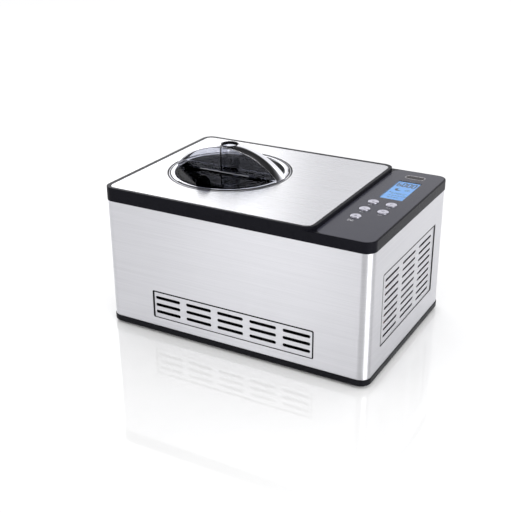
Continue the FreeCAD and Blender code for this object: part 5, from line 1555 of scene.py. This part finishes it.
@dataclass(frozen=True)
class Studio:
    """Camera, floor, surround and lights."""

    camera_place: Point = (0.61082, -1.14849, 0.68007)
    yaw: float = -0.5144
    pitch: float = -0.4208
    roll: float = -0.0077
    lens: float = 65.56
    floor_size: float = 14.0
    white_level: float = 1.04
    gloss_levels: tuple[tuple[float, float], ...] = ((0.0, 1.12), (0.56, 1.12), (0.64, 0.15), (0.74, 0.02),
                                                     (0.88, 0.04), (0.96, 0.7))
    shaded_way: Point = (0.906, -0.423, 0.0)
    shaded_level: float = 0.42
    lights: tuple[SoftBox, ...] = field(default_factory=lambda: (
        SoftBox("left_front_soft", (-0.96, -2.2, 0.9), (0.0, 0.0, 0.1), 0.7, 1.4, 5.0),
        SoftBox("corner_soft", (2.0, -0.85, 0.8), (0.2, -0.1, 0.1), 1.6, 1.5, 34.0),
        SoftBox("right_rear_soft", (0.55, 2.6, 0.9), (0.2, 0.0, 0.1), 0.6, 1.4, 3.2),
        SoftBox("rear_left_soft", (-2.02, 1.83, 1.25), (-0.1, 0.0, 0.2), 1.95, 1.2, 8.0),
    ))

    def build(self) -> None:
        """Sets up everything around the object."""
        self.camera()
        self.floor()
        self.surround()
        for light in self.lights:
            light.build()
        bpy.context.scene.view_settings.view_transform = "Standard"

    def camera(self) -> None:
        """Sets up the camera."""
        ahead = Vector((math.sin(self.yaw) * math.cos(self.pitch), math.cos(self.yaw) * math.cos(self.pitch),
                        math.sin(self.pitch)))
        right = ahead.cross(Z_AXIS).normalized()
        upward = right.cross(ahead)
        across = right * math.cos(self.roll) + upward * math.sin(self.roll)
        raised = upward * math.cos(self.roll) - right * math.sin(self.roll)
        lens = bpy.data.cameras.new("camera")
        lens.lens, lens.sensor_width = self.lens, 36.0
        held = bpy.data.objects.new("camera", lens)
        turn = Matrix((across, raised, -ahead)).transposed().to_4x4()
        held.matrix_world = Matrix.Translation(Vector(self.camera_place)) @ turn
        bpy.context.scene.collection.objects.link(held)
        bpy.context.scene.camera = held

    def floor(self) -> None:
        """Lays the pale glossy floor."""
        grid = bmesh.new()
        bmesh.ops.create_grid(grid, x_segments=1, y_segments=1, size=self.floor_size / 2)
        mesh = bpy.data.meshes.new("floor")
        grid.to_mesh(mesh)
        grid.free()
        mesh.materials.append(Plastic("floor_white", tone=(0.85, 0.85, 0.85), deep=(0.84, 0.84, 0.84),
                                      matt=(0.03, 0.05), relief=0.0, shine=1.0).material())
        held = bpy.data.objects.new("floor", mesh)
        bpy.context.scene.collection.objects.link(held)

    def surround(self) -> None:
        """Makes the white surround, which glossy faces see darker high up and beyond the near corner."""
        world = bpy.data.worlds.new("surround")
        world.use_nodes = True
        bpy.context.scene.world = world
        tree = world.node_tree
        tree.nodes.clear()
        where = tree.nodes.new("ShaderNodeTexCoord").outputs["Generated"]
        height = tree.nodes.new("ShaderNodeSeparateXYZ")
        tree.links.new(where, height.inputs["Vector"])
        ramp = tree.nodes.new("ShaderNodeValToRGB")
        ramp.color_ramp.elements.remove(ramp.color_ramp.elements[1])
        for index, (place, level) in enumerate(self.gloss_levels):
            stop = ramp.color_ramp.elements[0] if index == 0 else ramp.color_ramp.elements.new(place)
            stop.position, stop.color = place, (level, level, level * 1.03, 1.0)
        tree.links.new(height.outputs["Z"], ramp.inputs["Fac"])
        toward = tree.nodes.new("ShaderNodeVectorMath")
        toward.operation = "DOT_PRODUCT"
        toward.inputs[1].default_value = self.shaded_way
        tree.links.new(where, toward.inputs[0])
        falloff = tree.nodes.new("ShaderNodeMapRange")
        falloff.interpolation_type = "SMOOTHSTEP"
        ends = {"From Min": 0.05, "From Max": 0.5, "To Min": 1.0, "To Max": self.shaded_level}
        for name, value in ends.items():
            falloff.inputs[name].default_value = value
        tree.links.new(toward.outputs["Value"], falloff.inputs["Value"])
        shaded = tree.nodes.new("ShaderNodeVectorMath")
        shaded.operation = "SCALE"
        tree.links.new(ramp.outputs["Color"], shaded.inputs[0])
        tree.links.new(falloff.outputs["Result"], shaded.inputs["Scale"])
        seen = tree.nodes.new("ShaderNodeBackground")
        tree.links.new(shaded.outputs["Vector"], seen.inputs["Color"])
        plain = tree.nodes.new("ShaderNodeBackground")
        plain.inputs["Strength"].default_value = self.white_level
        plain.inputs["Color"].default_value = (1.0, 1.0, 1.0, 1.0)
        mixed = tree.nodes.new("ShaderNodeMixShader")
        path = tree.nodes.new("ShaderNodeLightPath")
        tree.links.new(path.outputs["Is Glossy Ray"], mixed.inputs[0])
        tree.links.new(plain.outputs[0], mixed.inputs[1])
        tree.links.new(seen.outputs[0], mixed.inputs[2])
        out = tree.nodes.new("ShaderNodeOutputWorld")
        tree.links.new(mixed.outputs[0], out.inputs["Surface"])


def main() -> None:
    """Builds the object's pieces in order, then the studio."""
    logging.basicConfig(level=logging.INFO, format="%(message)s")
    panel = ControlPanel()
    moulding = TopMoulding()
    Case().build()
    moulding.build(panel)
    panel.build(moulding)
    Lid().build()
    dress_carried_nodes(frame["nodes"])
    Studio().build()


if __name__ == "__main__":
    main()
